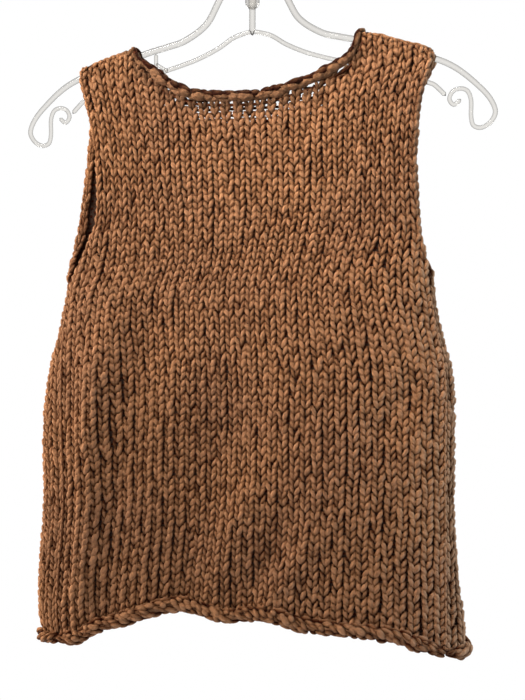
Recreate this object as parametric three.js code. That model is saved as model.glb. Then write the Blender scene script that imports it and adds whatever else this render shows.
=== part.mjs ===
// A chunky hand-knit sweater vest hanging on a clear plastic hanger.
// Millimetres, +Z up. The front of the vest faces -Y, and +X is the viewer's right.
// The origin is the top of the opening in the hanger's hook, where a rail carries it.

import * as THREE from 'three';

// Driving dimensions of the cloth
const clothThickness = 6.5;
const shoulderThickness = 5.5;
const sideFoldRadius = 8.5;
const seamGap = 0.3;
const hemRollHeight = 14;
const hemRollStandOff = 7;
const neckRopeRadius = 4.5;
const shoulderRopeRadius = 3.4;
const neckRopeGap = 0.7;
const armClearance = 0.85;

// Driving dimensions of the hanger
const armRadius = 2.9;
const endRadius = 1.9;
const bowRadius = 2;
const stemRadius = 2.8;
const linkRadius = 1.8;
const hookWireRadius = 2.5;
const hookInnerRadius = 20;
const shoulderDrop = 0.3007;
const shoulderPeak = -123.8;

// Shape of the hem's roll: how many places round it, how many of them bulge the whole way out, and
// where its inner face starts
const hemRollSteps = 7;
const hemRollFullSteps = 4;
const hemFootInset = 5.2;
const hemFootLift = 2;

// Ranges of height, measured up from the arm's centre line, over which the cloth and the neck
// edging are pressed thinner
const clothPressed = { from: -24, to: -4 };
const edgingPressed = { from: -40, to: 4 };

// The cloth turns each side in one piece where its edges stand less than this from the middle.
const joinedWithin = 6;

// The cloth lies over the hanger's arm, which slopes, so its outer radius is measured upright.
const shoulderRadius = (armRadius + armClearance + shoulderThickness) * Math.hypot(1, shoulderDrop);
const overTheArm = shoulderRadius * Math.PI / 2;

// Where the neck opening meets the shoulders
const neckLeft = -117;
const neckRight = 104;

// Outer sizes of the vest at each height. left and right are the furthest points of the section, and
// front and back are how far each face bulges past "apart", the half gap between the armhole edges.
// The last four place the panels' edges: the way along the cloth from the furthest point of that
// side to the edge, positive round to the front and negative round to the back.
const sections = [
  { z: -176, left: -165, right: 165, apart: shoulderRadius, front: 0, back: 0,
    frontLeft: 1.5, frontRight: 1.5, backLeft: -1.5, backRight: -1.5 },
  { z: -200, left: -160, right: 158, apart: shoulderRadius, front: 1.5, back: 2,
    frontLeft: 3, frontRight: 3, backLeft: -2, backRight: -6 },
  { z: -245, left: -163, right: 156, apart: 9, front: 4, back: 5,
    frontLeft: 15, frontRight: 6, backLeft: -2, backRight: -16 },
  { z: -300, left: -171, right: 158, apart: 6, front: 9, back: 11,
    frontLeft: 25, frontRight: 7, backLeft: -3, backRight: -18 },
  { z: -340, left: -176.5, right: 161, apart: 2.5, front: 14, back: 16,
    frontLeft: 22, frontRight: 8, backLeft: -2, backRight: -15 },
  { z: -370, left: -178, right: 163, apart: 0, front: 19, back: 21,
    frontLeft: 10, frontRight: 7, backLeft: 10, backRight: 7 },
  { z: -400, left: -184.5, right: 168, apart: 0, front: 22, back: 24,
    frontLeft: 14, frontRight: 8, backLeft: 14, backRight: 8 },
  { z: -445, left: -196, right: 175.5, apart: 0, front: 26, back: 29,
    frontLeft: 26, frontRight: 9, backLeft: 26, backRight: 9 },
  { z: -490, left: -201.5, right: 177.5, apart: 0, front: 29, back: 32,
    frontLeft: 33, frontRight: 11, backLeft: 33, backRight: 11 },
  { z: -565, left: -201, right: 180, apart: 0, front: 31, back: 36,
    frontLeft: 36, frontRight: 13, backLeft: 36, backRight: 13 },
  { z: -625, left: -205.5, right: 184.5, apart: 0, front: 32, back: 38,
    frontLeft: 43, frontRight: 18, backLeft: 43, backRight: 18 },
  { z: -665, left: -205.5, right: 189, apart: 0, front: 33, back: 40,
    frontLeft: 46, frontRight: 23, backLeft: 46, backRight: 23 },
  { z: -690, left: -200.5, right: 186.5, apart: 0, front: 33, back: 41,
    frontLeft: 42, frontRight: 22, backLeft: 42, backRight: 22 },
];

const underarm = -370;

// How square the section turns at each side: 2 is an ellipse's end, more is squarer.
const leftSquareness = 3;
const rightSquareness = 4.5;

// The knitted neck edges under the rope edging
const frontNeck = [
  { x: -110, z: -161.5 }, { x: -104, z: -167 }, { x: -93, z: -177 }, { x: -85, z: -184.5 },
  { x: -77, z: -191 }, { x: -66, z: -196.5 }, { x: -52, z: -201.5 }, { x: -30, z: -203.5 },
  { x: 0, z: -204.5 }, { x: 13, z: -204 }, { x: 35, z: -199.5 }, { x: 52, z: -195 },
  { x: 65, z: -191 }, { x: 77, z: -184 }, { x: 91, z: -174 }, { x: 98, z: -164 },
];
const backNeck = [
  { x: -110, z: -166 }, { x: -100, z: -184 }, { x: -82, z: -206 }, { x: -58, z: -221 },
  { x: -30, z: -228 }, { x: 0, z: -229 }, { x: 25, z: -226 }, { x: 50, z: -218 },
  { x: 72, z: -204 }, { x: 88, z: -186 }, { x: 98, z: -167 },
];

// The hems, as a share of each panel's width from the left
const frontHem = [
  { share: 0, z: -692 }, { share: 0.055, z: -690 }, { share: 0.12, z: -679 }, { share: 0.22, z: -667 },
  { share: 0.32, z: -655 }, { share: 0.38, z: -656.5 }, { share: 0.46, z: -662.5 },
  { share: 0.52, z: -659 }, { share: 0.6, z: -660.5 }, { share: 0.66, z: -666 },
  { share: 0.79, z: -668.5 }, { share: 0.88, z: -671.5 }, { share: 0.94, z: -679 }, { share: 1, z: -685 },
];
const backHem = [
  { share: 0, z: -692 }, { share: 0.06, z: -694 }, { share: 0.13, z: -690 }, { share: 0.25, z: -677 },
  { share: 0.5, z: -669 }, { share: 0.75, z: -673 }, { share: 0.9, z: -682 }, { share: 0.96, z: -687 },
  { share: 1, z: -685 },
];

// The largest folds, each a soft line through a few places: swell is out of the cloth, and a trough
// has a negative one.
const frontFolds = [
  { width: 13, swell: -5,
    path: [{ x: -98, z: -410 }, { x: -114, z: -485 }, { x: -128, z: -566 }, { x: -136, z: -650 }] },
  { width: 13, swell: 2.5, path: [{ x: -122, z: -400 }, { x: -143, z: -500 }] },
  { width: 15, swell: -4, path: [{ x: -25, z: -510 }, { x: -53, z: -572 }, { x: -84, z: -640 }] },
  { width: 12, swell: 3, path: [{ x: 2, z: -553 }, { x: -34, z: -635 }] },
  { width: 12, swell: -3, path: [{ x: 38, z: -570 }, { x: 2, z: -640 }] },
  { width: 11, swell: 2, path: [{ x: 60, z: -595 }, { x: 25, z: -640 }] },
  { width: 14, swell: -3, path: [{ x: 152, z: -456 }, { x: 122, z: -490 }] },
  { width: 70, swell: 4, path: [{ x: 30, z: -430 }, { x: 60, z: -540 }] },
];
const backFolds = [
  { width: 16, swell: -5, path: [{ x: -70, z: -420 }, { x: -88, z: -530 }, { x: -92, z: -650 }] },
  { width: 60, swell: 5, path: [{ x: 15, z: -470 }, { x: 5, z: -600 }] },
  { width: 15, swell: -4, path: [{ x: 112, z: -400 }, { x: 104, z: -500 }, { x: 118, z: -640 }] },
  { width: 14, swell: -3, path: [{ x: 20, z: -540 }, { x: 34, z: -640 }] },
];

// Where the hanger's rods run, on the right side
const armPath = [
  { x: 5.7, z: -72.5 }, { x: 10, z: -78.5 }, { x: 20, z: -92 }, { x: 31.7, z: -111.8 }, { x: 43, z: -130.8 },
  { x: 63.5, z: -144.4 }, { x: 81.5, z: -149.4 }, { x: 97, z: -153 }, { x: 131.7, z: -163.4 },
  { x: 166.5, z: -173.9 }, { x: 183.2, z: -182.8 }, { x: 200.8, z: -197.9 },
];
const endPath = [
  { x: 201.2, z: -198.3 }, { x: 210.6, z: -209.2 }, { x: 215, z: -220.5 }, { x: 211, z: -229 },
  { x: 203, z: -233.5 }, { x: 196.5, z: -231.5 }, { x: 194.4, z: -224 }, { x: 194.2, z: -209 },
  { x: 191, z: -201.5 }, { x: 185.2, z: -199.4 }, { x: 178.8, z: -201.5 }, { x: 175.8, z: -208 },
  { x: 179.6, z: -213 }, { x: 185.6, z: -208.6 },
];
const bowPath = [
  { x: 3.9, z: -140.4 }, { x: 17.6, z: -144.3 }, { x: 31, z: -152.6 }, { x: 48, z: -160.4 },
  { x: 62, z: -165.1 }, { x: 86, z: -171.8 }, { x: 123, z: -182.9 }, { x: 161, z: -194.1 },
  { x: 167, z: -199 }, { x: 172.6, z: -204.8 },
];
const hookPath = [
  { x: 0, z: -62 }, { x: 0, z: -53 }, { x: 5.5, z: -45 }, { x: 15.6, z: -37 },
];
const hookTip = { fromDegrees: -30, toDegrees: 200, steps: 14 };
const linkX = 91;
const linkTop = -154.9;
const linkBottom = -170.6;
const stemTop = -62.3;
const stemBottom = -143;

// Counts of points along and round the pieces
const strapSteps = 7;
const neckSteps = 20;
const bodyRows = 21;
const overRows = 5;
const sectionSamples = 72;
const cornerEase = 0.13;
const ropeSteps = 34;
const hookSteps = 34;
const ropeSides = 8;
const rodSides = 8;

// The way in from a panel's edge over which its folds grow, and the step that a direction is taken over
const foldFade = { from: 2, to: 35 };
const probeStep = 0.8;

// A smooth curve through the rows of a table, read at one value of its key column
function smooth(rows, key, value, at) {
  const last = rows.length - 1;
  const slope = (i) => {
    const a = rows[Math.max(i - 1, 0)];
    const b = rows[Math.min(i + 1, last)];
    return (b[value] - a[value]) / (b[key] - a[key]);
  };
  const rising = rows[last][key] > rows[0][key];
  const before = (row) => (rising ? row[key] <= at : row[key] >= at);
  let i = 0;
  while (i < last - 1 && before(rows[i + 1])) i += 1;
  const span = rows[i + 1][key] - rows[i][key];
  const t = Math.min(Math.max((at - rows[i][key]) / span, 0), 1);
  const t2 = t * t;
  const t3 = t2 * t;
  return rows[i][value] * (2 * t3 - 3 * t2 + 1) + slope(i) * span * (t3 - 2 * t2 + t)
    + rows[i + 1][value] * (3 * t2 - 2 * t3) + slope(i + 1) * span * (t3 - t2);
}

// The centre line of the hanger's arm, carried on inward over the neck
function ridge(x) {
  return shoulderPeak - shoulderDrop * Math.abs(x);
}

// One half of the vest's section at a height: from the left end round the front or back to the right
function halfSection(z, sign) {
  const at = (value) => smooth(sections, 'z', value, z);
  const left = at('left');
  const right = at('right');
  const centre = (left + right) / 2;
  const reach = (right - left) / 2;
  const apart = Math.max(at('apart'), 0);
  const bulge = Math.max(at(sign < 0 ? 'front' : 'back'), 0);
  // Where the cloth turns the corner in one piece, it never folds tighter than its own thickness lets it.
  const joined = Math.max(1 - apart / joinedWithin, 0);
  const roundest = joined * 2 * sideFoldRadius * reach / Math.max(bulge * bulge, 1);
  const points = [];
  let length = 0;
  for (let i = 0; i <= sectionSamples; i += 1) {
    const across = -Math.cos(Math.PI * i / sectionSamples);
    const power = Math.max(across < 0 ? leftSquareness : rightSquareness, roundest);
    const x = centre + reach * across;
    const y = sign * (apart + bulge * Math.sqrt(Math.max(1 - Math.abs(across) ** power, 0)));
    if (i > 0) {
      const was = points[i - 1];
      length += Math.hypot(x - was.x, y - was.y);
    }
    points.push({ x, y, length });
  }
  return points;
}

// The point a given length along a half section
function along(points, length) {
  const last = points.length - 1;
  let i = 0;
  while (i < last - 1 && points[i + 1].length < length) i += 1;
  const a = points[i];
  const b = points[i + 1];
  const t = (length - a.length) / (b.length - a.length);
  return { x: a.x + (b.x - a.x) * t, y: a.y + (b.y - a.y) * t };
}

// How far a place is from a fold's line
function awayFrom(path, x, z) {
  let nearest = Infinity;
  for (let i = 0; i < path.length - 1; i += 1) {
    const runX = path[i + 1].x - path[i].x;
    const runZ = path[i + 1].z - path[i].z;
    const share = ((x - path[i].x) * runX + (z - path[i].z) * runZ) / (runX * runX + runZ * runZ);
    const t = Math.min(Math.max(share, 0), 1);
    nearest = Math.min(nearest, Math.hypot(x - path[i].x - t * runX, z - path[i].z - t * runZ));
  }
  return nearest;
}

// How far the folds move the cloth at a place on it
function foldSwell(folds, x, z) {
  let swell = 0;
  for (const fold of folds) {
    const away = awayFrom(fold.path, x, z) / fold.width;
    swell += fold.swell * Math.exp(-away * away);
  }
  return swell;
}

// The cloth is pressed thinner where it lies over the arm. rise is measured up from the arm's centre line.
function thicknessAt(rise) {
  const t = THREE.MathUtils.smoothstep(rise, clothPressed.from, clothPressed.to);
  return clothThickness + (shoulderThickness - clothThickness) * t;
}

const panels = {
  front: {
    sign: -1, left: 'frontLeft', right: 'frontRight', neck: frontNeck, hem: frontHem, folds: frontFolds,
  },
  back: {
    sign: 1, left: 'backLeft', right: 'backRight', neck: backNeck, hem: backHem, folds: backFolds,
  },
};

// A place on a panel's outer face. share runs from its left edge to its right edge, and height is z
// up to the shoulder's ridge, then the way over the hanger's arm. slip moves it along the section.
function outerPoint(panel, share, height, slip = 0) {
  const near = halfSection(height, panel.sign);
  const far = halfSection(height, -panel.sign);
  const nearLength = near[sectionSamples].length;
  const farLength = far[sectionSamples].length;
  const at = (value) => smooth(sections, 'z', value, height);
  // Below the armholes both panels end at the same seam.
  const edges = height < underarm ? panels.front : panel;
  const start = -panel.sign * at(edges.left);
  const end = nearLength + panel.sign * at(edges.right);
  const way = start + (end - start) * share + slip;
  let place;
  if (way < 0) place = along(far, -way);
  else if (way > nearLength) place = along(far, farLength - (way - nearLength));
  else place = along(near, way);
  const top = ridge(place.x);
  const rise = height - top;
  const shift = panel.sign * seamGap / 2;
  if (rise > 0) {
    const turn = rise / shoulderRadius;
    const y = panel.sign * shoulderRadius * Math.cos(turn) + shift;
    return new THREE.Vector3(place.x, y, top + shoulderRadius * Math.sin(turn));
  }
  const inward = Math.min(way - Math.max(start, 0), Math.min(end, nearLength) - way);
  const fade = THREE.MathUtils.smoothstep(inward, foldFade.from, foldFade.to);
  const y = place.y + panel.sign * foldSwell(panel.folds, place.x, height) * fade + shift;
  return new THREE.Vector3(place.x, y, height);
}

// The directions across a panel, from left to right, and straight out of its outer face
function directions(panel, share, height) {
  const from = outerPoint(panel, share, height, -probeStep);
  const to = outerPoint(panel, share, height, probeStep);
  const below = outerPoint(panel, share, height - probeStep);
  const above = outerPoint(panel, share, height + probeStep);
  const across = to.sub(from).normalize();
  const normal = across.clone().cross(above.sub(below)).normalize();
  return { across, normal: panel.sign < 0 ? normal : normal.negate() };
}

// The height at which a column of the panel ends: over the arm, or at the neck edge
function columnTop(panel, x) {
  if (x <= neckLeft || x >= neckRight) return ridge(x) + overTheArm;
  const rows = [
    { x: neckLeft, z: ridge(neckLeft) + overTheArm },
    ...panel.neck,
    { x: neckRight, z: ridge(neckRight) + overTheArm },
  ];
  return smooth(rows, 'x', 'z', x);
}

// The x places, near the shoulders, at which the columns of a panel run
function columnPlaces(left, right) {
  const places = [];
  for (let i = 0; i < strapSteps; i += 1) places.push(left + (neckLeft - left) * i / strapSteps);
  for (let i = 0; i < neckSteps; i += 1) {
    const t = i / neckSteps;
    const eased = t - cornerEase * Math.sin(2 * Math.PI * t);
    places.push(neckLeft + (neckRight - neckLeft) * eased);
  }
  for (let i = 0; i <= strapSteps; i += 1) places.push(neckRight + (right - neckRight) * i / strapSteps);
  return places;
}

// One column of a panel: a closed loop down the outer face, round the rolled hem and up the inner face.
// inset moves it in from a seam.
function columnLoop(panel, share, top, inset) {
  const bottom = smooth(panel.hem, 'share', 'z', share);
  const heights = [];
  const overFrom = top - overTheArm;
  for (let i = 0; i < overRows; i += 1) heights.push(top - overTheArm * i / overRows);
  const rollTop = bottom + hemRollHeight;
  for (let i = 0; i <= bodyRows; i += 1) heights.push(overFrom + (rollTop - overFrom) * i / bodyRows);
  const outer = [];
  const inner = [];
  for (const height of heights) {
    const point = outerPoint(panel, share, height);
    const { across, normal } = directions(panel, share, height);
    point.addScaledVector(across, inset);
    outer.push(point);
    inner.push(point.clone().addScaledVector(normal, -thicknessAt(height - ridge(point.x))));
  }
  const { across: footAcross, normal: footNormal } = directions(panel, share, rollTop);
  const foot = outerPoint(panel, share, bottom).addScaledVector(footAcross, inset);
  const half = hemRollHeight / 2;
  const roll = [];
  for (let i = 1; i <= hemRollSteps; i += 1) {
    const turn = Math.PI * (0.5 - i / hemRollSteps);
    const stand = i <= hemRollFullSteps ? hemRollStandOff : clothThickness;
    const out = Math.cos(turn) * stand;
    roll.push(foot.clone().addScaledVector(footNormal, out).setZ(bottom + half + half * Math.sin(turn)));
  }
  roll.push(foot.clone().addScaledVector(footNormal, -hemFootInset).setZ(bottom + hemFootLift));
  return { outer, roll, inner: inner.reverse() };
}

// A closed body through columns that each hold an outer line, a roll and an inner line
function wall(columns) {
  const rows = columns.map((column) => [...column.outer, ...column.roll, ...column.inner]);
  const count = rows[0].length;
  const positions = rows.flat().flatMap((point) => point.toArray());
  const index = [];
  const quad = (a, b, c, d) => index.push(a, b, c, a, c, d);
  for (let i = 0; i < rows.length - 1; i += 1) {
    for (let k = 0; k < count; k += 1) {
      const next = (k + 1) % count;
      quad(i * count + k, i * count + next, (i + 1) * count + next, (i + 1) * count + k);
    }
  }
  const outerCount = columns[0].outer.length;
  const rollEnd = count - outerCount;
  const cap = (offset, flip) => {
    const add = (a, b, c) => index.push(...(flip ? [a, c, b] : [a, b, c]).map((k) => offset + k));
    for (let k = 0; k < outerCount - 1; k += 1) {
      const inside = count - 1 - k;
      add(k, inside, k + 1);
      add(k + 1, inside, inside - 1);
    }
    for (let k = outerCount - 1; k < rollEnd - 1; k += 1) add(k, rollEnd, k + 1);
  };
  cap(0, false);
  cap((rows.length - 1) * count, true);
  return closedGeometry(positions, index);
}

// Turns points and triangles into a geometry whose faces point out
function closedGeometry(positions, index) {
  let volume = 0;
  const corner = (k) => new THREE.Vector3().fromArray(positions, index[k] * 3);
  for (let k = 0; k < index.length; k += 3) {
    volume += corner(k).dot(corner(k + 1).cross(corner(k + 2)));
  }
  const faces = [];
  for (let k = 0; k < index.length; k += 3) {
    if (volume > 0) faces.push(index[k], index[k + 1], index[k + 2]);
    else faces.push(index[k], index[k + 2], index[k + 1]);
  }
  const geometry = new THREE.BufferGeometry();
  geometry.setAttribute('position', new THREE.Float32BufferAttribute(positions, 3));
  geometry.setIndex(faces);
  geometry.computeVertexNormals();
  return geometry;
}

// Where a panel's left and right edges stand, near the shoulders
function edgePlaces(panel) {
  const height = sections[0].z;
  return [outerPoint(panel, 0, height).x, outerPoint(panel, 1, height).x];
}

function panelGeometry(panel) {
  const [left, right] = edgePlaces(panel);
  const columns = columnPlaces(left, right).map((x, i, places) => {
    const share = (x - left) / (right - left);
    const top = columnTop(panel, outerPoint(panel, share, ridge(x)).x);
    const insets = { 0: seamGap, [places.length - 1]: -seamGap };
    return columnLoop(panel, share, top, insets[i] ?? 0);
  });
  return wall(columns);
}

// The line that the rope edging follows along one panel's neck, from left to right
function neckLine(panel) {
  const [left, right] = edgePlaces(panel);
  const line = [];
  for (let i = 0; i <= ropeSteps; i += 1) {
    const t = i / ropeSteps;
    const eased = t - cornerEase * Math.sin(2 * Math.PI * t);
    const x = neckLeft + (neckRight - neckLeft) * eased;
    const share = (x - left) / (right - left);
    const height = columnTop(panel, x);
    const rise = height - ridge(x);
    const overShoulder = THREE.MathUtils.smoothstep(rise, edgingPressed.from, edgingPressed.to);
    const radius = neckRopeRadius + (shoulderRopeRadius - neckRopeRadius) * overShoulder;
    line.push({
      point: outerPoint(panel, share, height),
      normal: directions(panel, share, height).normal,
      thickness: thicknessAt(rise),
      radius,
    });
  }
  return line;
}

function neckEdgingGeometry() {
  const line = [...neckLine(panels.front), ...neckLine(panels.back).reverse().slice(1, -1)];
  const count = line.length;
  const positions = [];
  const index = [];
  line.forEach(({ point, normal, thickness, radius }, i) => {
    const next = line[(i + 1) % count].point;
    const before = line[(i + count - 1) % count].point;
    const outOfCloth = normal.clone().cross(next.clone().sub(before)).normalize();
    const centre = point.clone().addScaledVector(normal, radius - thickness)
      .addScaledVector(outOfCloth, radius + neckRopeGap);
    for (let k = 0; k < ropeSides; k += 1) {
      const turn = 2 * Math.PI * k / ropeSides;
      const place = centre.clone().addScaledVector(normal, radius * Math.cos(turn))
        .addScaledVector(outOfCloth, radius * Math.sin(turn));
      positions.push(...place.toArray());
      const a = i * ropeSides + k;
      const b = i * ropeSides + (k + 1) % ropeSides;
      const wrapped = ((i + 1) % count) * ropeSides;
      const c = wrapped + (k + 1) % ropeSides;
      const d = wrapped + k;
      index.push(a, b, c, a, c, d);
    }
  });
  return closedGeometry(positions, index);
}

// A round rod along a path in the hanger's own plane. side is 1 on the right and -1 on the left.
function rodGeometry(path, radius, side = 1, steps = path.length * 2) {
  const points = path.map((place) => new THREE.Vector3(place.x * side, 0, place.z));
  const curve = new THREE.CatmullRomCurve3(points, false, 'centripetal');
  const round = new THREE.Shape();
  for (let k = 0; k < rodSides; k += 1) {
    const turn = 2 * Math.PI * (k + 0.5) / rodSides;
    const x = radius * Math.cos(turn);
    const y = radius * Math.sin(turn);
    if (k === 0) round.moveTo(x, y);
    else round.lineTo(x, y);
  }
  round.closePath();
  return new THREE.ExtrudeGeometry(round, { steps, extrudePath: curve });
}

function hookGeometry() {
  const wireCentre = hookInnerRadius + hookWireRadius;
  const path = [...hookPath];
  for (let i = 0; i <= hookTip.steps; i += 1) {
    const degrees = hookTip.fromDegrees + (hookTip.toDegrees - hookTip.fromDegrees) * i / hookTip.steps;
    const turn = THREE.MathUtils.degToRad(degrees);
    path.push({ x: wireCentre * Math.cos(turn), z: wireCentre * Math.sin(turn) - hookInnerRadius });
  }
  return rodGeometry(path, hookWireRadius, 1, hookSteps);
}

function uprightRod(x, top, bottom, radius) {
  const geometry = new THREE.CylinderGeometry(radius, radius, top - bottom, rodSides * 2);
  geometry.rotateX(Math.PI / 2);
  geometry.translate(x, 0, (top + bottom) / 2);
  return geometry;
}

const yarn = new THREE.MeshStandardMaterial({ color: 0x8a5f3c, roughness: 0.95, metalness: 0 });
const clearPlastic = new THREE.MeshStandardMaterial({
  color: 0xe9ecec, roughness: 0.08, metalness: 0, transparent: true, opacity: 0.35,
});

const group = new THREE.Group();

function add(name, geometry, material) {
  const mesh = new THREE.Mesh(geometry, material.clone());
  mesh.name = name;
  group.add(mesh);
}

add('front_panel', panelGeometry(panels.front), yarn);
add('back_panel', panelGeometry(panels.back), yarn);
add('neck_edging', neckEdgingGeometry(), yarn);
add('hanger_hook', hookGeometry(), clearPlastic);
add('hanger_stem', uprightRod(0, stemTop, stemBottom, stemRadius), clearPlastic);
for (const [name, side] of [['left', -1], ['right', 1]]) {
  add(`hanger_arm_${name}`, rodGeometry(armPath, armRadius, side), clearPlastic);
  add(`hanger_end_${name}`, rodGeometry(endPath, endRadius, side), clearPlastic);
  add(`hanger_bow_${name}`, rodGeometry(bowPath, bowRadius, side), clearPlastic);
  add(`hanger_link_${name}`, uprightRod(side * linkX, linkTop, linkBottom, linkRadius), clearPlastic);
}

export default group;
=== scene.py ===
# %% [markdown]
# A chunky hand-knit vest on a clear plastic hanger.
# The CAD model is a plain wall for each panel. On the real vest that wall is a thick yarn, looped
# more than five thousand times, and the loops are what the eye sees. So this lesson knits the vest:
# it works out where the cloth runs, lays yarn along every course, and then makes the yarn and the
# clear plastic look right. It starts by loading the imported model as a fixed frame.

# %% Load the frame
import math

import bpy
import numpy as np
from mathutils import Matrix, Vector


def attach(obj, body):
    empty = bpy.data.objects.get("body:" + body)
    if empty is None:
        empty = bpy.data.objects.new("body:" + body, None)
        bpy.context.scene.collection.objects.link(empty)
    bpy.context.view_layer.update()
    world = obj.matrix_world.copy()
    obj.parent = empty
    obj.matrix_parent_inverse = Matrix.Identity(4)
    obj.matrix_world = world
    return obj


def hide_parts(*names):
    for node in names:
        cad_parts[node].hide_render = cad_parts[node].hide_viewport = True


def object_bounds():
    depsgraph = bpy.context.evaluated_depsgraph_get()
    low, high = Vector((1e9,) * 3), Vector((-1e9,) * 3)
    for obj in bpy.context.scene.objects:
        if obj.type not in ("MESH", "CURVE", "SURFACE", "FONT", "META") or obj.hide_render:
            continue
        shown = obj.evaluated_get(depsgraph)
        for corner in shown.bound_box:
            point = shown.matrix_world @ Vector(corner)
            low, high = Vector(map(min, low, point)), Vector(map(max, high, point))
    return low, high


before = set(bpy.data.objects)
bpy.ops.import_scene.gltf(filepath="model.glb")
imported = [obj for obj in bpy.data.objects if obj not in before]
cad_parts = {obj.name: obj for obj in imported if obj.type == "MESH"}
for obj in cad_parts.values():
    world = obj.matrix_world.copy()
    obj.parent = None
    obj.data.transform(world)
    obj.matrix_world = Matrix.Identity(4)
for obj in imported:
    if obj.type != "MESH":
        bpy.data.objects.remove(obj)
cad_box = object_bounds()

MM = 0.001


def in_scene(name, data):
    """Puts a mesh, a lamp or the camera into the scene as an object."""
    item = bpy.data.objects.new(name, data)
    bpy.context.scene.collection.objects.link(item)
    return item


print("CAD box, in metres:", cad_box)

# %% [markdown]
# The camera comes first, so that every later step can be judged in the picture it is made for.
# A product photograph is usually taken level with the middle of the garment, from a little way off,
# which keeps upright lines upright. Here the camera stands level, 1.3 m away and 16 degrees round to
# the right. Its lens is worked out from how many pixels wide one radian looks in the picture.

# %% Place the camera
CAMERA_TURN = math.radians(16)
CAMERA_DISTANCE = 1.3
CAMERA_SIDE_STEP = 0.009
CAMERA_HEIGHT = -0.4228
PICTURE_HEIGHT_PIXELS = 700
PIXELS_PER_RADIAN = 1462

camera_data = bpy.data.cameras.new("camera")
camera_data.sensor_fit = "VERTICAL"
camera_data.sensor_height = 36
camera_data.lens = PIXELS_PER_RADIAN * camera_data.sensor_height / PICTURE_HEIGHT_PIXELS
camera = in_scene("camera", camera_data)
bpy.context.scene.camera = camera
camera.location = (
    CAMERA_DISTANCE * math.sin(CAMERA_TURN) + CAMERA_SIDE_STEP * math.cos(CAMERA_TURN),
    -CAMERA_DISTANCE * math.cos(CAMERA_TURN) + CAMERA_SIDE_STEP * math.sin(CAMERA_TURN),
    CAMERA_HEIGHT,
)
camera.rotation_euler = (math.pi / 2, 0, CAMERA_TURN)
print("lens", round(camera_data.lens, 1), "mm")

# %% [markdown]
# The cloth takes the CAD model's measures, in millimetres, as short tables. A few are moved a little,
# to look right with the yarn on: the lower right side is fuller, the left side seam stands nearer
# the edge by the hem, the back hem is higher in the middle, and the folds are fuller. A section row
# gives the vest's outline at one height: its two ends, half the gap between the armhole edges, how
# far each face bulges, and where each panel's edge stands, measured along the cloth from the end.

# %% Measures of the cloth
CLOTH_THICKNESS = 6.5
SIDE_FOLD_RADIUS = 8.5
SEAM_GAP = 0.3
ARM_RADIUS = 2.9
ARM_CLEARANCE = 0.85
SHOULDER_THICKNESS = 5.5
SHOULDER_DROP = 0.3007
SHOULDER_PEAK = -123.8
SHOULDER_RADIUS = (ARM_RADIUS + ARM_CLEARANCE + SHOULDER_THICKNESS) * math.hypot(1, SHOULDER_DROP)
OVER_THE_ARM = SHOULDER_RADIUS * math.pi / 2
NECK_LEFT = -117
NECK_RIGHT = 104
UNDERARM = -370
LEFT_SQUARENESS = 3
RIGHT_SQUARENESS = 4.5
JOINED_WITHIN = 6
FOLD_FADE = (2, 35)
SECTION_SAMPLES = 72

SECTION_COLUMNS = "z left right apart front back front_left front_right back_left back_right".split()
SECTION_ROWS = [
    (-176, -165, 165, SHOULDER_RADIUS, 0, 0, 1.5, 1.5, -1.5, -1.5),
    (-200, -160, 158, SHOULDER_RADIUS, 1.5, 2, 3, 3, -2, -6),
    (-245, -163, 156, 9, 4, 5, 15, 6, -2, -16),
    (-300, -171, 158, 6, 9, 11, 25, 7, -3, -18),
    (-340, -176.5, 161, 2.5, 14, 16, 22, 8, -2, -15),
    (-370, -178, 163, 0, 19, 21, 10, 7, 10, 7),
    (-400, -184.5, 168, 0, 22, 24, 14, 8, 14, 8),
    (-445, -196, 179, 0, 26, 29, 26, 11, 26, 11),
    (-490, -201.5, 180.5, 0, 29, 32, 33, 13, 33, 13),
    (-565, -201, 180, 0, 31, 36, 35, 13, 35, 13),
    (-625, -205.5, 184.5, 0, 32, 38, 35, 18, 35, 18),
    (-665, -205.5, 189, 0, 33, 40, 33, 23, 33, 23),
    (-690, -200.5, 186.5, 0, 33, 41, 31, 22, 31, 22),
]
SECTIONS = {name: [row[i] for row in SECTION_ROWS] for i, name in enumerate(SECTION_COLUMNS)}
print(len(SECTION_ROWS), "sections, from", SECTION_ROWS[0][0], "down to", SECTION_ROWS[-1][0], "mm")

# %% [markdown]
# A panel's cut lines are where its knitting stops. The neckline is a row of heights across the
# chest, and the hem is a row of heights by the share of the panel's width from the left. The front
# hem hangs unevenly, and the back neckline, which is hidden, is taken to be a little lower.

# %% Cut lines of the panels
FRONT_NECK = {
    "x": [-110, -104, -93, -85, -77, -66, -52, -30, 0, 13, 35, 52, 65, 77, 91, 98],
    "z": [-161.5, -167, -177, -184.5, -191, -196.5, -201.5, -203.5, -204.5, -204, -199.5, -195,
          -191, -184, -174, -164],
}
BACK_NECK = {
    "x": [-110, -100, -82, -58, -30, 0, 25, 50, 72, 88, 98],
    "z": [-166, -184, -206, -221, -228, -229, -226, -218, -204, -186, -167],
}
FRONT_HEM = {
    "share": [0, 0.055, 0.12, 0.22, 0.32, 0.38, 0.46, 0.52, 0.6, 0.66, 0.79, 0.88, 0.94, 1],
    "z": [-692, -690, -679, -667, -655, -656.5, -662.5, -659, -660.5, -666, -668.5, -671.5, -679,
          -685],
}
BACK_HEM = {
    "share": [0, 0.06, 0.13, 0.25, 0.5, 0.75, 0.9, 0.96, 1],
    "z": [-692, -694, -688, -672, -664, -669, -680, -687, -685],
}
print("the front hem hangs between", max(FRONT_HEM["z"]), "and", min(FRONT_HEM["z"]), "mm")

# %% [markdown]
# Thick knitted cloth makes few folds, and soft ones. A row gives a fold's width, how far it swells
# out of the cloth, and the places of its line as (x, z). A trough swells inward, so its number is
# negative. A fold that is shaped in the surface bends the ribs with it, which bump could not do.

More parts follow.
